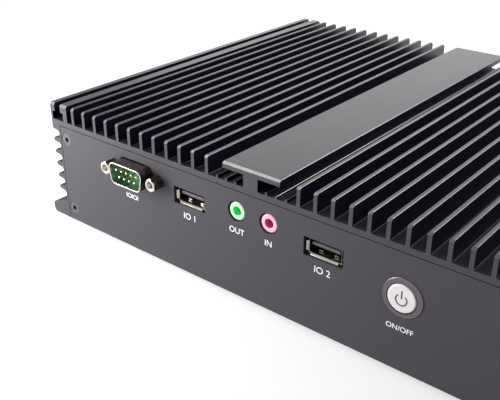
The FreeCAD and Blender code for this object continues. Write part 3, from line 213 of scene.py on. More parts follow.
black_anodised = new_finish("black_anodised", (0.002, 0.0023, 0.008), 0.34, ior=1.43)
die_lines = streaks(black_anodised, (2600, 12, 2600))
shade_colour(black_anodised, die_lines, (0.001, 0.0012, 0.005), (0.003, 0.0034, 0.011))
vary_roughness(black_anodised, streaks(black_anodised, (400, 18, 400)), 0.33, 0.35)
emboss(black_anodised, die_lines, 0.0015 * MM)
satin_black = new_finish("panel_black", (0.051, 0.047, 0.055), 0.46, ior=1.29)
blasting = speckle(satin_black, 4200, detail=2)
shade_colour(satin_black, blasting, (0.046, 0.043, 0.05), (0.056, 0.052, 0.061))
vary_roughness(satin_black, speckle(satin_black, 45), 0.42, 0.5)
emboss(satin_black, blasting, 0.004 * MM)
milled_black = new_finish("milled_black", (0.02, 0.02, 0.021), 0.26, ior=1.8)
vary_roughness(milled_black, speckle(milled_black, 900), 0.25, 0.27)
# A duller, less glossy copy of the black for the floors between the fins, dimming their reflections:
# painted shade.
valley_shade_black = new_finish("valley_shade_black", (0.022, 0.021, 0.028), 0.6, ior=1.2)
vary_roughness(valley_shade_black, streaks(valley_shade_black, (300, 18, 300)), 0.55, 0.7)
housing = merged_copy("housing")
for corner in housing.data.vertices:
    row = round((abs(corner.co.x) - FIN_FIRST) / FIN_PITCH)
    middle = FIN_FIRST + row * FIN_PITCH
    aside = abs(corner.co.x) - middle
    above = corner.co.z - DECK_TOP
    on_fin = 0 <= row < FIN_COUNT and abs(aside) < FIN_HALF + FIN_ROOT + NEAR
    if on_fin and above > -NEAR:
        slim = SLIM_HALF + min(abs(aside) - FIN_HALF, SLIM_ROOT)
        corner.co.x = math.copysign(middle + math.copysign(slim, aside), corner.co.x)
        if NEAR < above < FIN_ROOT + NEAR:
            corner.co.z = DECK_TOP + SLIM_ROOT
housing_coats = (black_anodised, satin_black, milled_black, valley_shade_black)
dress(housing, *housing_coats)
break_edges(housing, width=0.18 * MM)
fit_out(housing, "housing", black_anodised)
for face in housing.data.polygons:
    if abs(face.normal.y) > END_FACING:
        face.material_index = housing_coats.index(satin_black)
    elif abs(face.normal.y) > CHAMFER_FACING and face.normal.z > CHAMFER_FACING:
        face.material_index = housing_coats.index(milled_black)
    elif face.normal.z > FLOOR_FACING and face.center.z < FLOOR_TOP:
        face.material_index = housing_coats.index(valley_shade_black)
    # The small chamfers at the fins' feet take the lighter satin: a painted highlight along each foot.
    elif face.normal.z > FOOT_FACING and DECK_TOP < face.center.z < FLOOR_TOP:
        face.material_index = housing_coats.index(satin_black)

# End panels: flat aluminium plates that close the two ends, sunk flush into the milled rebates.
# They have the satin finish of the milled ends. Their rims and punched openings are broken with a narrow
# chamfer painted near-black, painted shade in the seams, so a thin black line runs round every seam; only
# the up-facing faces below the top rim, the openings' sills, keep the satin.
RIM_ZONE = 3 * MM
SILL_FACING = 0.3
SEAM_CREASE = math.radians(60)
panel_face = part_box("front_panel")[0].y


def mottle(finish, spots, dark, light):
    """The base colour varies evenly from a dark to a light tone, with so many spots to the metre."""
    shade_colour(finish, speckle(finish, spots), dark, light)


# A near-black for the chamfers round seams and openings and for the button's mouth: painted shade in the
# gaps.
seam_shade_black = new_finish("seam_shade_black", (0.006, 0.006, 0.007), 0.9, ior=1.12)
mottle(seam_shade_black, 1800, (0.004, 0.004, 0.005), (0.009, 0.009, 0.01))
for node in ("front_panel", "rear_panel"):
    panel = merged_copy(node)
    panel_coats = (satin_black, seam_shade_black)
    dress(panel, *panel_coats)
    shade_slot = panel_coats.index(seam_shade_black)
    break_edges(panel, width=0.35 * MM, steps=1, sharper=SEAM_CREASE, edge_slot=shade_slot)
    for face in panel.data.polygons:
        sill = face.normal.z > SILL_FACING and face.center.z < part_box(node)[1].z - RIM_ZONE
        if sill:
            face.material_index = panel_coats.index(satin_black)
    fit_out(panel, node, satin_black)

# Bottom cover: a flat steel sheet between the side walls, with four holes for an arm or bracket.
# It is powder painted black, and screwed up into the housing's ledges.
cover_black = new_finish("cover_black", (0.03, 0.03, 0.032), 0.55)
cover_powder = speckle(cover_black, 2600, detail=2)
shade_colour(cover_black, cover_powder, (0.024, 0.024, 0.026), (0.037, 0.037, 0.039))
vary_roughness(cover_black, speckle(cover_black, 50), 0.48, 0.62)
emboss(cover_black, cover_powder, 0.012 * MM)


def finished_copy(node, finish, edge, steps=2):
    """A merged copy of a CAD node with its edges broken, in the node's stead."""
    piece = merged_copy(node)
    dress(piece, finish)
    break_edges(piece, edge, steps)
    fit_out(piece, node, finish)
    return piece


finished_copy("bottom_cover", cover_black, edge=0.15 * MM)

# Rubber feet: four tapered discs, moulded in black rubber with a rounded rim.
# Each one is stuck to the bottom cover near a corner.
foot_rubber = new_finish("foot_rubber", (0.02, 0.02, 0.02), 0.85)
rubber_grain = speckle(foot_rubber, 1500)
shade_colour(foot_rubber, rubber_grain, (0.014, 0.014, 0.014), (0.028, 0.028, 0.027))
emboss(foot_rubber, rubber_grain, 0.02 * MM)
for place in range(1, 5):
    finished_copy(f"rubber_foot_{place}", foot_rubber, edge=0.5 * MM, steps=4)

# Countersunk screws: turned and blackened steel with a hexagonal socket.
# Four hold each end panel, four the bottom cover, and four more hold the storage drive to the cover.
HEAD = 5.6 * MM
HEAD_RIM = 0.12 * MM
SHANK = 3 * MM
SHANK_TIP = SHANK / 8
TIP_SHARE = 0.75
SOCKET = 2 * MM
SOCKET_DEPTH = 1.2 * MM
SOCKET_POINT = SOCKET / 6
POINT_SHARE = 0.05
ROUND = 40
TO_FRONT = math.radians(90)
TO_REAR = math.radians(-90)
TO_FLOOR = math.radians(180)


def draw_out(length, narrowing=1.0):
    """The selected face is extruded along Z, and its new end scaled about the axis."""
    bpy.ops.mesh.extrude_region_move(TRANSFORM_OT_translate={"value": (0, 0, length)})
    bpy.ops.transform.resize(value=(narrowing, narrowing, 1), center_override=(0, 0, 0))


def close_mesh():
    """The mesh in hand gets its doubles merged and its faces turned outwards."""
    bpy.ops.mesh.select_all(action="SELECT")
    bpy.ops.mesh.remove_doubles(threshold=JOIN_GAP)
    bpy.ops.mesh.normals_make_consistent(inside=False)
    bpy.ops.object.mode_set(mode="OBJECT")


def disc(radius, sides=ROUND):
    """A flat disc at the origin, in edit mode, as the start of a turned piece."""
    bpy.ops.object.select_all(action="DESELECT")
    bpy.ops.mesh.primitive_circle_add(vertices=sides, radius=radius, fill_type="NGON")
    bpy.ops.object.mode_set(mode="EDIT")
    bpy.ops.mesh.select_all(action="SELECT")
    return bpy.context.object


def hexagon(flats):
    """A flat hexagon at the origin, in edit mode, so wide across its flats."""
    return disc(flats / 2 / math.cos(math.radians(30)), 6)


def carve(piece, tool, operation="DIFFERENCE"):
    """The tool is taken out of the piece, or the piece kept only inside it, and the tool is gone."""
    pick(piece)
    cut = piece.modifiers.new("cut", "BOOLEAN")
    cut.object = tool
    cut.operation = operation
    cut.solver = "EXACT"
    bpy.ops.object.modifier_apply(modifier=cut.name)
    bpy.data.objects.remove(tool)


def countersunk_screw(length):
    """A screw along the axis, its face at zero and its end below."""
    cone = (HEAD - SHANK) / 2
    screw = disc(HEAD / 2)
    draw_out(-HEAD_RIM)
    draw_out(-cone, SHANK / HEAD)
    draw_out(HEAD_RIM + cone + SHANK_TIP - length)
    draw_out(-SHANK_TIP, TIP_SHARE)
    close_mesh()
    socket = hexagon(SOCKET)
    bpy.ops.transform.translate(value=(0, 0, SOCKET_DEPTH))
    draw_out(-2 * SOCKET_DEPTH)
    draw_out(-SOCKET_POINT, POINT_SHARE)
    close_mesh()
    carve(screw, socket)
    break_edges(screw, width=0.05 * MM)
    return screw


def set_copies(pattern, name, places, turn):
    """Copies of a pattern, each with its own mesh, turned about X and set at places, as one piece."""
    copies = []
    for place in places:
        pick(pattern)
        bpy.ops.object.duplicate()
        copy = bpy.context.object
        copy.rotation_euler = (turn, 0, 0)
        copy.location = place
        bpy.ops.object.transform_apply(location=True, rotation=True, scale=True)
        copies.append(copy)
    pick(*copies)
    bpy.ops.object.join()
    group = bpy.context.object
    group.name = name
    bpy.data.objects.remove(pattern)
    return group


screw_steel = new_finish("screw_steel", (0.055, 0.05, 0.058), 0.4, ior=1.5)
screw_wear = speckle(screw_steel, 1500)
shade_colour(screw_steel, screw_wear, (0.046, 0.042, 0.048), (0.065, 0.06, 0.068))
vary_roughness(screw_steel, screw_wear, 0.34, 0.46)
for node, turn in (("front_panel_screws", TO_FRONT), ("rear_panel_screws", TO_REAR)):
    low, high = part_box(node)
    face = low.y if turn == TO_FRONT else high.y
    columns = (low.x + HEAD / 2, high.x - HEAD / 2)
    rows = (low.z + HEAD / 2, high.z - HEAD / 2)
    screw_places = [(x, face, z) for x in columns for z in rows]
    screws = set_copies(countersunk_screw(high.y - low.y), f"{node}_finished", screw_places, turn)
    fit_out(screws, node, screw_steel)
for node in ("bottom_cover_screws", "drive_screws"):
    low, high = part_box(node)
    columns = (low.x + HEAD / 2, high.x - HEAD / 2)
    rows = (low.y + HEAD / 2, high.y - HEAD / 2)
    screw_places = [(x, y, low.z) for x in columns for y in rows]
    screws = set_copies(countersunk_screw(high.z - low.z), f"{node}_finished", screw_places, TO_FLOOR)
    fit_out(screws, node, screw_steel)

# Collars of the serial and monitor ports: D-shaped shells drawn in steel sheet, plated with bright nickel.
# Their plates lie behind the panel, and the collars stand out through it. The rims keep the bright nickel,
# and the walls that face sideways outward take a darker copy of it: painted shade and dark reflection.
COLLARS = ("serial_port", "rear_serial_port_1", "rear_serial_port_2", "monitor_port")
RIM_FACING = 0.2
nickel = new_finish("nickel", (0.5, 0.48, 0.44), 0.28, metallic=1.0)
plating = speckle(nickel, 260)
shade_colour(nickel, plating, (0.47, 0.45, 0.41), (0.53, 0.51, 0.47))
vary_roughness(nickel, plating, 0.24, 0.33)
# A darker copy of the nickel, with uneven spots: painted shade and dark reflection.
shaded_nickel = new_finish("shaded_nickel", (0.1, 0.088, 0.076), 0.34, metallic=1.0)
shade_spots = speckle(shaded_nickel, 420)
shade_colour(shaded_nickel, shade_spots, (0.05, 0.043, 0.037), (0.15, 0.132, 0.114))
vary_roughness(shaded_nickel, shade_spots, 0.28, 0.42)
for port in COLLARS:
    collar = finished_copy(f"{port}_shell", nickel, edge=0.14 * MM, steps=3)
    collar.data.materials.append(shaded_nickel)
    low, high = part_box(f"{port}_shell")
    middle = (low + high) / 2
    # Outer walls that face sideways take the shaded nickel: painted shade and dark reflection.
    for face in collar.data.polygons:
        outside = face.normal.dot(face.center - middle) > 0
        face.material_index = int(outside and abs(face.normal.y) < RIM_FACING)

# Inserts of those ports: blocks of moulded plastic that fill the collars and hold the contacts.
# The nine-pin ones are green and the monitor's is blue.
green_insulator = new_finish("green_insulator", (0.008, 0.28, 0.17), 0.45, ior=1.38)
mottle(green_insulator, 700, (0.006, 0.25, 0.15), (0.01, 0.31, 0.19))
blue_insulator = new_finish("blue_insulator", (0.02, 0.07, 0.36), 0.38)
mottle(blue_insulator, 700, (0.017, 0.06, 0.32), (0.024, 0.08, 0.4))
for port in COLLARS[:3]:
    finished_copy(f"{port}_insert", green_insulator, edge=0.08 * MM)
finished_copy("monitor_port_insert", blue_insulator, edge=0.06 * MM)

# Pins: turned brass with rounded tips under a thin gold plating, five above four in each nine-pin port.
# They are pressed through the insert and stand a little short of the collar's rim.
PIN = 1 * MM
PIN_PITCH = 2.77 * MM
PIN_SIDES = 20
PIN_CREASE = math.radians(50)
TIP_FLAT = 0.45
TIP_STEPS = ((0.08, 0.75), (0.16, 0.93), (0.2, 1.0))
gold_contact = new_finish("gold_contact", (0.86, 0.7, 0.42), 0.26, metallic=1.0)
mottle(gold_contact, 1200, (0.8, 0.62, 0.34), (0.9, 0.76, 0.5))


def round_pin(length):
    """A pin along the axis, its tip at zero, rounded in steps of a length and a width in diameters."""
    width = TIP_FLAT
    rest = length
    pin = disc(PIN / 2 * width, PIN_SIDES)
    for step, wider in TIP_STEPS:
        draw_out(-PIN * step, wider / width)
        width = wider
        rest -= PIN * step
    draw_out(-rest)
    close_mesh()
    pick(pin)
    bpy.ops.object.shade_smooth_by_angle(angle=PIN_CREASE)
    return pin


for port, turn in zip(COLLARS, (TO_FRONT, TO_REAR, TO_REAR)):
    low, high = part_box(f"{port}_pins")
    tip = low.y if turn == TO_FRONT else high.y
    rows = {low.z + PIN / 2: 4, high.z - PIN / 2: 5}
    middle = (low.x + high.x) / 2
    pin_places = [
        (middle + (place - (count - 1) / 2) * PIN_PITCH, tip, z)
        for z, count in rows.items()
        for place in range(count)
    ]
    pins = set_copies(round_pin(high.y - low.y), f"{port}_pins_finished", pin_places, turn)
    fit_out(pins, f"{port}_pins", gold_contact)

# Jackscrews: hexagonal nickel-plated posts with a turned face, a threaded bore and a stud.
# Each pair clamps the panel against a collar's plate, and takes the plug's own screws.
FLATS = 4.8 * MM
REACH = 4.9 * MM
STUD = 2.8 * MM
BORE = 2.3 * MM
BORE_DEPTH = 4 * MM
MOUTH = 3.3 * MM
TURNED_FACE = 4.5 * MM
TURNED_DEPTH = 0.35 * MM
TURNED_FLARE = 1.25
DRILL_START = 0.01 * MM
POST_END_FACING = 0.8
JACK_SPACING = 24.99 * MM
# A darker nickel for inside the bore: painted shade in the hole.
bore_shade_nickel = new_finish("bore_shade_nickel", (0.4, 0.36, 0.32), 0.4, metallic=1.0)
vary_roughness(bore_shade_nickel, speckle(bore_shade_nickel, 900), 0.35, 0.45)


def jackscrew(length):
    """A hexagonal post along the axis, its face at zero and its stud below."""
    post = hexagon(FLATS)
    draw_out(-REACH)
    close_mesh()
    turning = disc(TURNED_FACE / 2)
    draw_out(-TURNED_DEPTH, TURNED_FLARE)
    draw_out(-REACH)
    close_mesh()
    carve(post, turning, "INTERSECT")
    break_edges(post, width=0.06 * MM)
    stud = disc(STUD / 2)
    bpy.ops.transform.translate(value=(0, 0, -REACH))
    draw_out(REACH - length)
    close_mesh()
    drill = disc(MOUTH / 2)
    bpy.ops.transform.translate(value=(0, 0, DRILL_START))
    draw_out(-(MOUTH - BORE) / 2, BORE / MOUTH)
    draw_out(-BORE_DEPTH)
    close_mesh()
    carve(post, drill)
    pick(stud, post)
    bpy.ops.object.join()
    bpy.ops.object.shade_smooth_by_angle(angle=CREASE)
    post_coats = (nickel, shaded_nickel, bore_shade_nickel)
    dress(post, *post_coats)
    # The hex sides take the shaded nickel and the bore the darker nickel, painted shade; the turned face
    # keeps the bright.
    for face in post.data.polygons:
        outward = face.normal.x * face.center.x + face.normal.y * face.center.y
        if abs(face.normal.z) < POST_END_FACING:
            face.material_index = post_coats.index(shaded_nickel if outward > 0 else bore_shade_nickel)
    return post


for node, turn, ports in (
    ("serial_port_jackscrews", TO_FRONT, COLLARS[:1]),
    ("rear_jackscrews", TO_REAR, COLLARS[1:]),
):
    low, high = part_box(node)
    face = low.y if turn == TO_FRONT else high.y
    level = (low.z + high.z) / 2
    middles = [sum(corner.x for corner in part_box(f"{port}_shell")) / 2 for port in ports]
    jack_places = [(x + side * JACK_SPACING / 2, face, level) for x in middles for side in (-1, 1)]
    jacks = set_copies(jackscrew(high.y - low.y), f"{node}_finished", jack_places, turn)
    fit_out(jacks, node, nickel)

# Data ports: a folded, nickel-plated sheet shell with sprung fingers, and a moulded tongue with four
# contacts and a tapered, rounded nose. They stand on the board and look out through punched openings.
# In each shell the up-facing faces and the lips at the left and bottom keep the bright nickel; the rest
# takes the shaded copy, painted shade.
SIDE_LIP = 0.8 * MM
FLOOR_LIP = 2.4 * MM
LIP_FACING = 0.5
BRIGHT_FACING = 0.4
TONGUE_REACH = 0.9 * MM
NOSE_FALL = 0.45 * MM
NOSE_RISE = 0.2 * MM
NOSE_ROUND = 0.2 * MM
tongue_plastic = new_finish("dark_plastic", (0.06, 0.058, 0.064), 0.42)
mottle(tongue_plastic, 700, (0.053, 0.051, 0.057), (0.068, 0.066, 0.073))
for port in ("left_data_port", "right_data_port", "rear_data_port_1", "rear_data_port_2"):
    shell = finished_copy(f"{port}_shell", nickel, edge=0.07 * MM)
    shell.data.materials.append(shaded_nickel)
    low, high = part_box(f"{port}_shell")
    # All but the up-facing faces and the front lips take the shaded nickel: painted shade.
    for face in shell.data.polygons:
        at_lip = face.center.x < low.x + SIDE_LIP or face.center.z < low.z + FLOOR_LIP
        lip = abs(face.normal.y) > LIP_FACING and at_lip
        face.material_index = int(face.normal.z < BRIGHT_FACING and not lip)
    tongue = merged_copy(f"{port}_tongue")
    low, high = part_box(f"{port}_tongue")
    mouth = high.y if port.startswith("rear") else low.y
    outward = 1 if port.startswith("rear") else -1
    nose = [corner for corner in tongue.data.vertices if abs(corner.co.y - mouth) < NEAR]
    nose_top = max(corner.co.z for corner in nose)
    for corner in tongue.data.vertices:
        corner.select = False
    for corner in nose:
        corner.select = True
        corner.co.y += outward * TONGUE_REACH
        corner.co.z += -NOSE_FALL if corner.co.z > nose_top - NOSE_FALL else NOSE_RISE
    bpy.ops.object.mode_set(mode="EDIT")
    bpy.ops.mesh.bevel(offset=NOSE_ROUND, segments=2)
    bpy.ops.object.mode_set(mode="OBJECT")
    dress(tongue, tongue_plastic)
    fit_out(tongue, f"{port}_tongue", tongue_plastic)
    dress(frame["nodes"][f"{port}_contacts"], gold_contact)

# Sound jacks: moulded blocks in the usual colours, green for the output and pink for the input.
# The pale nose shows in the panel, and its bore takes a brighter, deeper tone for light through the
# plastic: a painted glow.
BORE_BELOW_TOP = 4.6 * MM
BORE_ZONE = 1.82 * MM
green_jack = new_finish("green_jack", (0.46, 0.8, 0.5), 0.3)
mottle(green_jack, 500, (0.43, 0.78, 0.47), (0.49, 0.82, 0.53))
# Brighter, deeper tones for the bores: a painted glow.
glow_green = new_finish("glow_green", (0.1, 0.93, 0.36), 0.35)
mottle(glow_green, 500, (0.09, 0.9, 0.33), (0.11, 0.96, 0.39))
pink_jack = new_finish("pink_jack", (0.88, 0.4, 0.54), 0.3)
mottle(pink_jack, 500, (0.86, 0.37, 0.51), (0.9, 0.43, 0.57))
glow_pink = new_finish("glow_pink", (0.75, 0.12, 0.31), 0.35)
mottle(glow_pink, 500, (0.72, 0.1, 0.28), (0.78, 0.14, 0.34))


def paint_within(piece, axis, radius):
    """Faces that lie within a radius of an axis along Y take the piece's second finish."""
    for face in piece.data.polygons:
        offsets = [piece.data.vertices[corner].co - axis for corner in face.vertices]
        reach = max(math.hypot(offset.x, offset.z) for offset in offsets)
        face.material_index = int(reach < radius)


for node, pale, glow in (("audio_jack", green_jack, glow_green), ("mic_jack", pink_jack, glow_pink)):
    jack = finished_copy(node, pale, edge=0.18 * MM, steps=3)
    jack.data.materials.append(glow)
    low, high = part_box(node)
    bore_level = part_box("audio_jack")[1].z - BORE_BELOW_TOP
    # The bore takes the brighter, deeper tone: a painted glow.
    paint_within(jack, Vector(((low.x + high.x) / 2, 0, bore_level)), BORE_ZONE)

# Power button: a dark plated bezel with a low conical front, held by a nut behind the panel, with a switch
# in its barrel; its mouth is painted near-black, painted shade in the gap round the cap. The moulded white
# cap slides in it, and carries the usual mark of a ring and a stroke.
BEZEL_MOUTH = 5.2 * MM
BEZEL_SHADE = 5.4 * MM
BEZEL_EDGE = 0.7 * MM
BEZEL_LIP = 0.55 * MM
BEZEL_RIM = 0.3 * MM
CAP_EDGE = 0.3 * MM
CAP_SINK = 0.6 * MM
RING = 4.4 * MM
RING_SIDES = 48
STROKE = 0.55 * MM
RING_GAP = 2 * STROKE
BAR = 3 * MM
BAR_MIDDLE = RING / 2 - BAR / 8
BAR_ROUND = 0.3 * STROKE
INK = 0.02 * MM
SYMBOL_DROP = 0.4 * MM
bezel_black = new_finish("bezel_black", (0.13, 0.12, 0.13), 0.28, metallic=0.9)
mottle(bezel_black, 1800, (0.115, 0.106, 0.115), (0.145, 0.134, 0.145))
bezel = merged_copy("power_bezel")
low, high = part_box("power_bezel")
bezel_middle = (low + high) / 2
bezel_radius = (high.x - low.x) / 2
bezel_slope = (BEZEL_LIP - BEZEL_RIM) / (bezel_radius - BEZEL_MOUTH)
for corner in bezel.data.vertices:
    if corner.co.y < low.y + BEZEL_EDGE + NEAR:
        reach = math.hypot(corner.co.x - bezel_middle.x, corner.co.z - bezel_middle.z)
        corner.co.y = panel_face - BEZEL_LIP + bezel_slope * (reach - BEZEL_MOUTH)
dress(bezel, bezel_black, seam_shade_black)
break_edges(bezel, width=0.16 * MM)
# Faces within the mouth take the seam colour: painted shade in the gap round the cap.
paint_within(bezel, bezel_middle, BEZEL_SHADE)
fit_out(bezel, "power_bezel", bezel_black)
cap_white = new_finish("cap_white", (0.66, 0.64, 0.63), 0.3)
mottle(cap_white, 400, (0.64, 0.62, 0.61), (0.68, 0.66, 0.65))
cap = merged_copy("power_cap")
low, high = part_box("power_cap")
for corner in cap.data.vertices:
    if corner.co.y < low.y + CAP_EDGE + NEAR:
        corner.co.y += CAP_SINK
dress(cap, cap_white)
break_edges(cap, width=0.25 * MM, steps=3)
fit_out(cap, "power_cap", cap_white, "button")
dress(frame["nodes"]["power_nut"], nickel)
dress(frame["nodes"]["power_switch"], tongue_plastic)
dress(frame["nodes"]["power_terminals"], gold_contact)
symbol_grey = new_finish("symbol_grey", (0.09, 0.085, 0.085), 0.5)
mottle(symbol_grey, 900, (0.08, 0.075, 0.075), (0.1, 0.095, 0.095))
cap_face = Vector(((low.x + high.x) / 2, low.y + CAP_SINK, (low.z + high.z) / 2))
ring = disc(RING / 2, RING_SIDES)
bpy.ops.mesh.inset(thickness=STROKE)
bpy.ops.mesh.delete(type="FACE")
bpy.ops.object.mode_set(mode="OBJECT")
for face in ring.data.polygons:
    face.select = face.center.y > 0 and abs(face.center.x) < RING_GAP
bpy.ops.object.mode_set(mode="EDIT")
bpy.ops.mesh.select_mode(type="FACE")
bpy.ops.mesh.delete(type="FACE")
bpy.ops.mesh.select_all(action="SELECT")
draw_out(INK)
close_mesh()
bpy.ops.object.select_all(action="DESELECT")
bpy.ops.mesh.primitive_plane_add(size=1, location=(0, BAR_MIDDLE, 0))
bar = bpy.context.object
bar.scale = (STROKE, BAR, 1)
bpy.ops.object.transform_apply(location=True, rotation=True, scale=True)
bpy.ops.object.mode_set(mode="EDIT")
bpy.ops.mesh.select_all(action="SELECT")
bpy.ops.mesh.bevel(offset=BAR_ROUND, segments=3, affect="VERTICES")
draw_out(INK)
close_mesh()
pick(ring, bar)
bpy.ops.object.join()
symbol = bpy.context.object
symbol.name = "power_symbol"
symbol.rotation_euler = (TO_FRONT, 0, 0)
symbol.location = cap_face - Vector((0, 0, SYMBOL_DROP))
bpy.ops.object.transform_apply(location=True, rotation=True, scale=True)
dress(symbol, symbol_grey)
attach(symbol, "button")

# Power inlet and network port, in the rear panel: moulded blocks, the network port in a plated shell.
# Both stand on the board; the inlet has a centre pin and the network port eight sprung wires.
finished_copy("power_inlet", tongue_plastic, edge=0.2 * MM, steps=3)
finished_copy("power_inlet_pin", nickel, edge=0.4 * MM, steps=4)
finished_copy("network_port_shell", nickel, edge=0.1 * MM)
finished_copy("network_port_insert", tongue_plastic, edge=0.12 * MM)
dress(frame["nodes"]["network_port_contacts"], gold_contact)

# Main board and memory: glass-fibre sheets under green solder mask.
# The board hangs under the finned deck on brass standoffs, and the module sits in a socket under it.
board_green = new_finish("board_green", (0.015, 0.16, 0.07), 0.35)
mottle(board_green, 300, (0.012, 0.13, 0.06), (0.02, 0.19, 0.085))
brass_post = new_finish("brass_post", (0.75, 0.55, 0.25), 0.3, metallic=1.0)
mottle(brass_post, 900, (0.68, 0.48, 0.2), (0.8, 0.62, 0.32))
dress(frame["nodes"]["main_board"], board_green)
dress(frame["nodes"]["memory_module"], board_green)
dress(frame["nodes"]["memory_socket"], tongue_plastic)
dress(frame["nodes"]["board_standoffs"], brass_post)
dress(frame["nodes"]["board_screws"], screw_steel)

# Heat path: the processor in its dark package, a grey thermal pad and a milled aluminium block.
# The block presses against the deck and carries the heat into the fins.
bare_aluminium = new_finish("bare_aluminium", (0.7, 0.7, 0.72), 0.35, metallic=1.0)
milling = streaks(bare_aluminium, (60, 2400, 60))
shade_colour(bare_aluminium, milling, (0.64, 0.64, 0.66), (0.76, 0.76, 0.78))
pad_grey = new_finish("pad_grey", (0.4, 0.4, 0.43), 0.8)
mottle(pad_grey, 1200, (0.36, 0.36, 0.39), (0.44, 0.44, 0.47))
dress(frame["nodes"]["heat_block"], bare_aluminium)
dress(frame["nodes"]["thermal_pad"], pad_grey)
dress(frame["nodes"]["processor"], tongue_plastic)

# Coin cell and storage drive: a steel cell in a moulded holder on the board, and a drive in an aluminium
# case. The drive lies on the bottom cover and is screwed to it from below.
cell_steel = new_finish("cell_steel", (0.68, 0.68, 0.67), 0.28, metallic=1.0)
cell_lines = streaks(cell_steel, (1400, 90, 1400))
shade_colour(cell_steel, cell_lines, (0.62, 0.62, 0.61), (0.74, 0.74, 0.73))
dress(frame["nodes"]["coin_cell"], cell_steel)
dress(frame["nodes"]["cell_holder"], tongue_plastic)
dress(frame["nodes"]["storage_drive"], bare_aluminium)

# Printed marks: short generic words in white ink under the ports and the button.
# They are screen printed on the front panel, so they stand only a hair above it.
label_white = new_finish("label_white", (0.78, 0.78, 0.78), 0.5)
mottle(label_white, 1500, (0.74, 0.74, 0.74), (0.82, 0.82, 0.82))


def print_mark(name, words, node, height, letters, aside=0.0):
    """Words in white ink on the front panel, below a port, with their middle at a height."""
    low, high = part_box(node)
    bpy.ops.object.select_all(action="DESELECT")
    bpy.ops.object.text_add()
    mark = bpy.context.object
    mark.name = name
    mark.data.body = words
    mark.data.size = letters
    mark.data.align_x = "CENTER"
    mark.data.align_y = "CENTER"
    mark.data.extrude = INK / 2
    mark.data.offset = INK
    bpy.ops.object.convert(target="MESH")
    mark.rotation_euler = (TO_FRONT, 0, 0)
    mark.location = ((low.x + high.x) / 2 + aside, panel_face - INK / 2, height)
    bpy.ops.object.transform_apply(location=True, rotation=True, scale=True)
    dress(mark, label_white)
    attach(mark, "case")


print_mark("serial_mark", "IOIOI", "serial_port_shell", 26.7 * MM, letters=2.9 * MM, aside=-3.2 * MM)
print_mark("left_data_mark", "IO 1", "left_data_port_shell", 28 * MM, letters=3.6 * MM)
print_mark("right_data_mark", "IO 2", "right_data_port_shell", 28 * MM, letters=3.6 * MM)
print_mark("output_mark", "OUT", "audio_jack", 30.45 * MM, letters=3.3 * MM)
print_mark("input_mark", "IN", "mic_jack", 30.45 * MM, letters=3.3 * MM)
print_mark("button_mark", "ON/OFF", "power_bezel", 19 * MM, letters=2.7 * MM)

# Floor: a wide pale sheet that keeps the object's shadow.
# A faint glow, which lights nothing, makes it read white to the camera and in reflections.
FLOOR_WIDTH = 8
FLOOR_GLOW = 0.5
bpy.ops.object.select_all(action="DESELECT")
bpy.ops.mesh.primitive_plane_add(size=FLOOR_WIDTH)
floor = bpy.context.object
floor.name = "floor"
floor_white = new_finish("floor_white", (0.55, 0.55, 0.55), 0.9)
floor_nodes = floor_white.node_tree.nodes
floor_links = floor_white.node_tree.links
lift = floor_nodes.new("ShaderNodeEmission")
lift.inputs["Strength"].default_value = FLOOR_GLOW
lifted = floor_nodes.new("ShaderNodeAddShader")
shown_floor = floor_nodes.new("ShaderNodeMixShader")


def seen_rays(tree):
    """One where a ray comes from the camera, a mirror or glass, and nought elsewhere."""
    ray = tree.nodes.new("ShaderNodeLightPath")
    mirrored = tree.nodes.new("ShaderNodeMath")
    mirrored.operation = "MAXIMUM"
    seen = tree.nodes.new("ShaderNodeMath")
    seen.operation = "MAXIMUM"
    tree.links.new(ray.outputs["Is Glossy Ray"], mirrored.inputs[0])
    tree.links.new(ray.outputs["Is Transmission Ray"], mirrored.inputs[1])
    tree.links.new(mirrored.outputs["Value"], seen.inputs[0])
    tree.links.new(ray.outputs["Is Camera Ray"], seen.inputs[1])
    return seen.outputs["Value"]


floor_links.new(floor_nodes["Principled BSDF"].outputs["BSDF"], lifted.inputs[0])
floor_links.new(lift.outputs["Emission"], lifted.inputs[1])
floor_links.new(seen_rays(floor_white.node_tree), shown_floor.inputs["Fac"])
floor_links.new(floor_nodes["Principled BSDF"].outputs["BSDF"], shown_floor.inputs[1])
floor_links.new(lifted.outputs["Shader"], shown_floor.inputs[2])
floor_links.new(shown_floor.outputs["Shader"], floor_nodes["Material Output"].inputs["Surface"])
dress(floor, floor_white)

# Studio light: a wide soft box behind the object's left shoulder for its tops, one behind its right
# shoulder for the fins' edges, a near key at the left front, a small lamp above it for the milled
# chamfers at the front, and an even surround.
TARGET = Vector((0, 0, 0.03))
SURROUND = 0.34


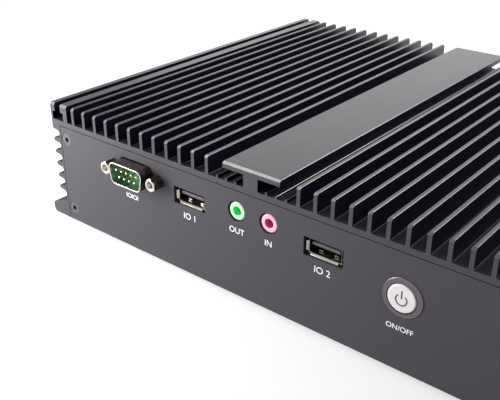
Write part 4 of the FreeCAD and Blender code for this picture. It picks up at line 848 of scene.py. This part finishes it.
def soft_box(name, place, size, power):
    """A square area lamp at a place, aimed at the object."""
    turn = (TARGET - Vector(place)).to_track_quat("-Z", "Y").to_euler()
    bpy.ops.object.light_add(type="AREA", location=place, rotation=turn)
    lamp = bpy.context.object
    lamp.name = name
    lamp.data.shape = "SQUARE"
    lamp.data.size = size
    lamp.data.energy = power
    lamp.visible_camera = False


soft_box("top_box", (-0.5, 0.94, 0.58), size=1.0, power=3.4)
soft_box("edge_box", (0.5, 0.75, 0.62), size=0.4, power=11)
soft_box("left_key", (-0.3, -0.28, 0.12), size=0.2, power=2.7)
soft_box("front_edge_box", (-0.516, -0.473, 0.69), size=0.15, power=0.9)
world = bpy.data.worlds.new("surround")
bpy.context.scene.world = world
world.use_nodes = True
sky = world.node_tree.nodes["Background"]
sky.inputs["Color"].default_value = (1, 1, 1, 1)
sky.inputs["Strength"].default_value = SURROUND
white = world.node_tree.nodes.new("ShaderNodeBackground")
white.inputs["Color"].default_value = (1, 1, 1, 1)
white.inputs["Strength"].default_value = 1
choice = world.node_tree.nodes.new("ShaderNodeMixShader")
world_links = world.node_tree.links
world_links.new(seen_rays(world.node_tree), choice.inputs["Fac"])
world_links.new(sky.outputs["Background"], choice.inputs[1])
world_links.new(white.outputs["Background"], choice.inputs[2])
world_links.new(choice.outputs["Shader"], world.node_tree.nodes["World Output"].inputs["Surface"])

# Camera: at the photograph's viewing angle, from the front right and above.
# Its place and lens were fitted to the serial port's standard size and the box's straight edges.
VIEW_FROM = (0.14674, -0.27109, 0.16416)
VIEW_ALONG = Vector((-0.56209, 0.68936, -0.45698))
LENS = 54.97
SENSOR = 36
NEAREST = 10 * MM
bpy.ops.object.camera_add(location=VIEW_FROM, rotation=VIEW_ALONG.to_track_quat("-Z", "Y").to_euler())
camera = bpy.context.object
camera.name = "camera"
camera.data.lens = LENS
camera.data.sensor_width = SENSOR
camera.data.clip_start = NEAREST
bpy.context.scene.camera = camera
bpy.context.scene.view_settings.view_transform = "Standard"
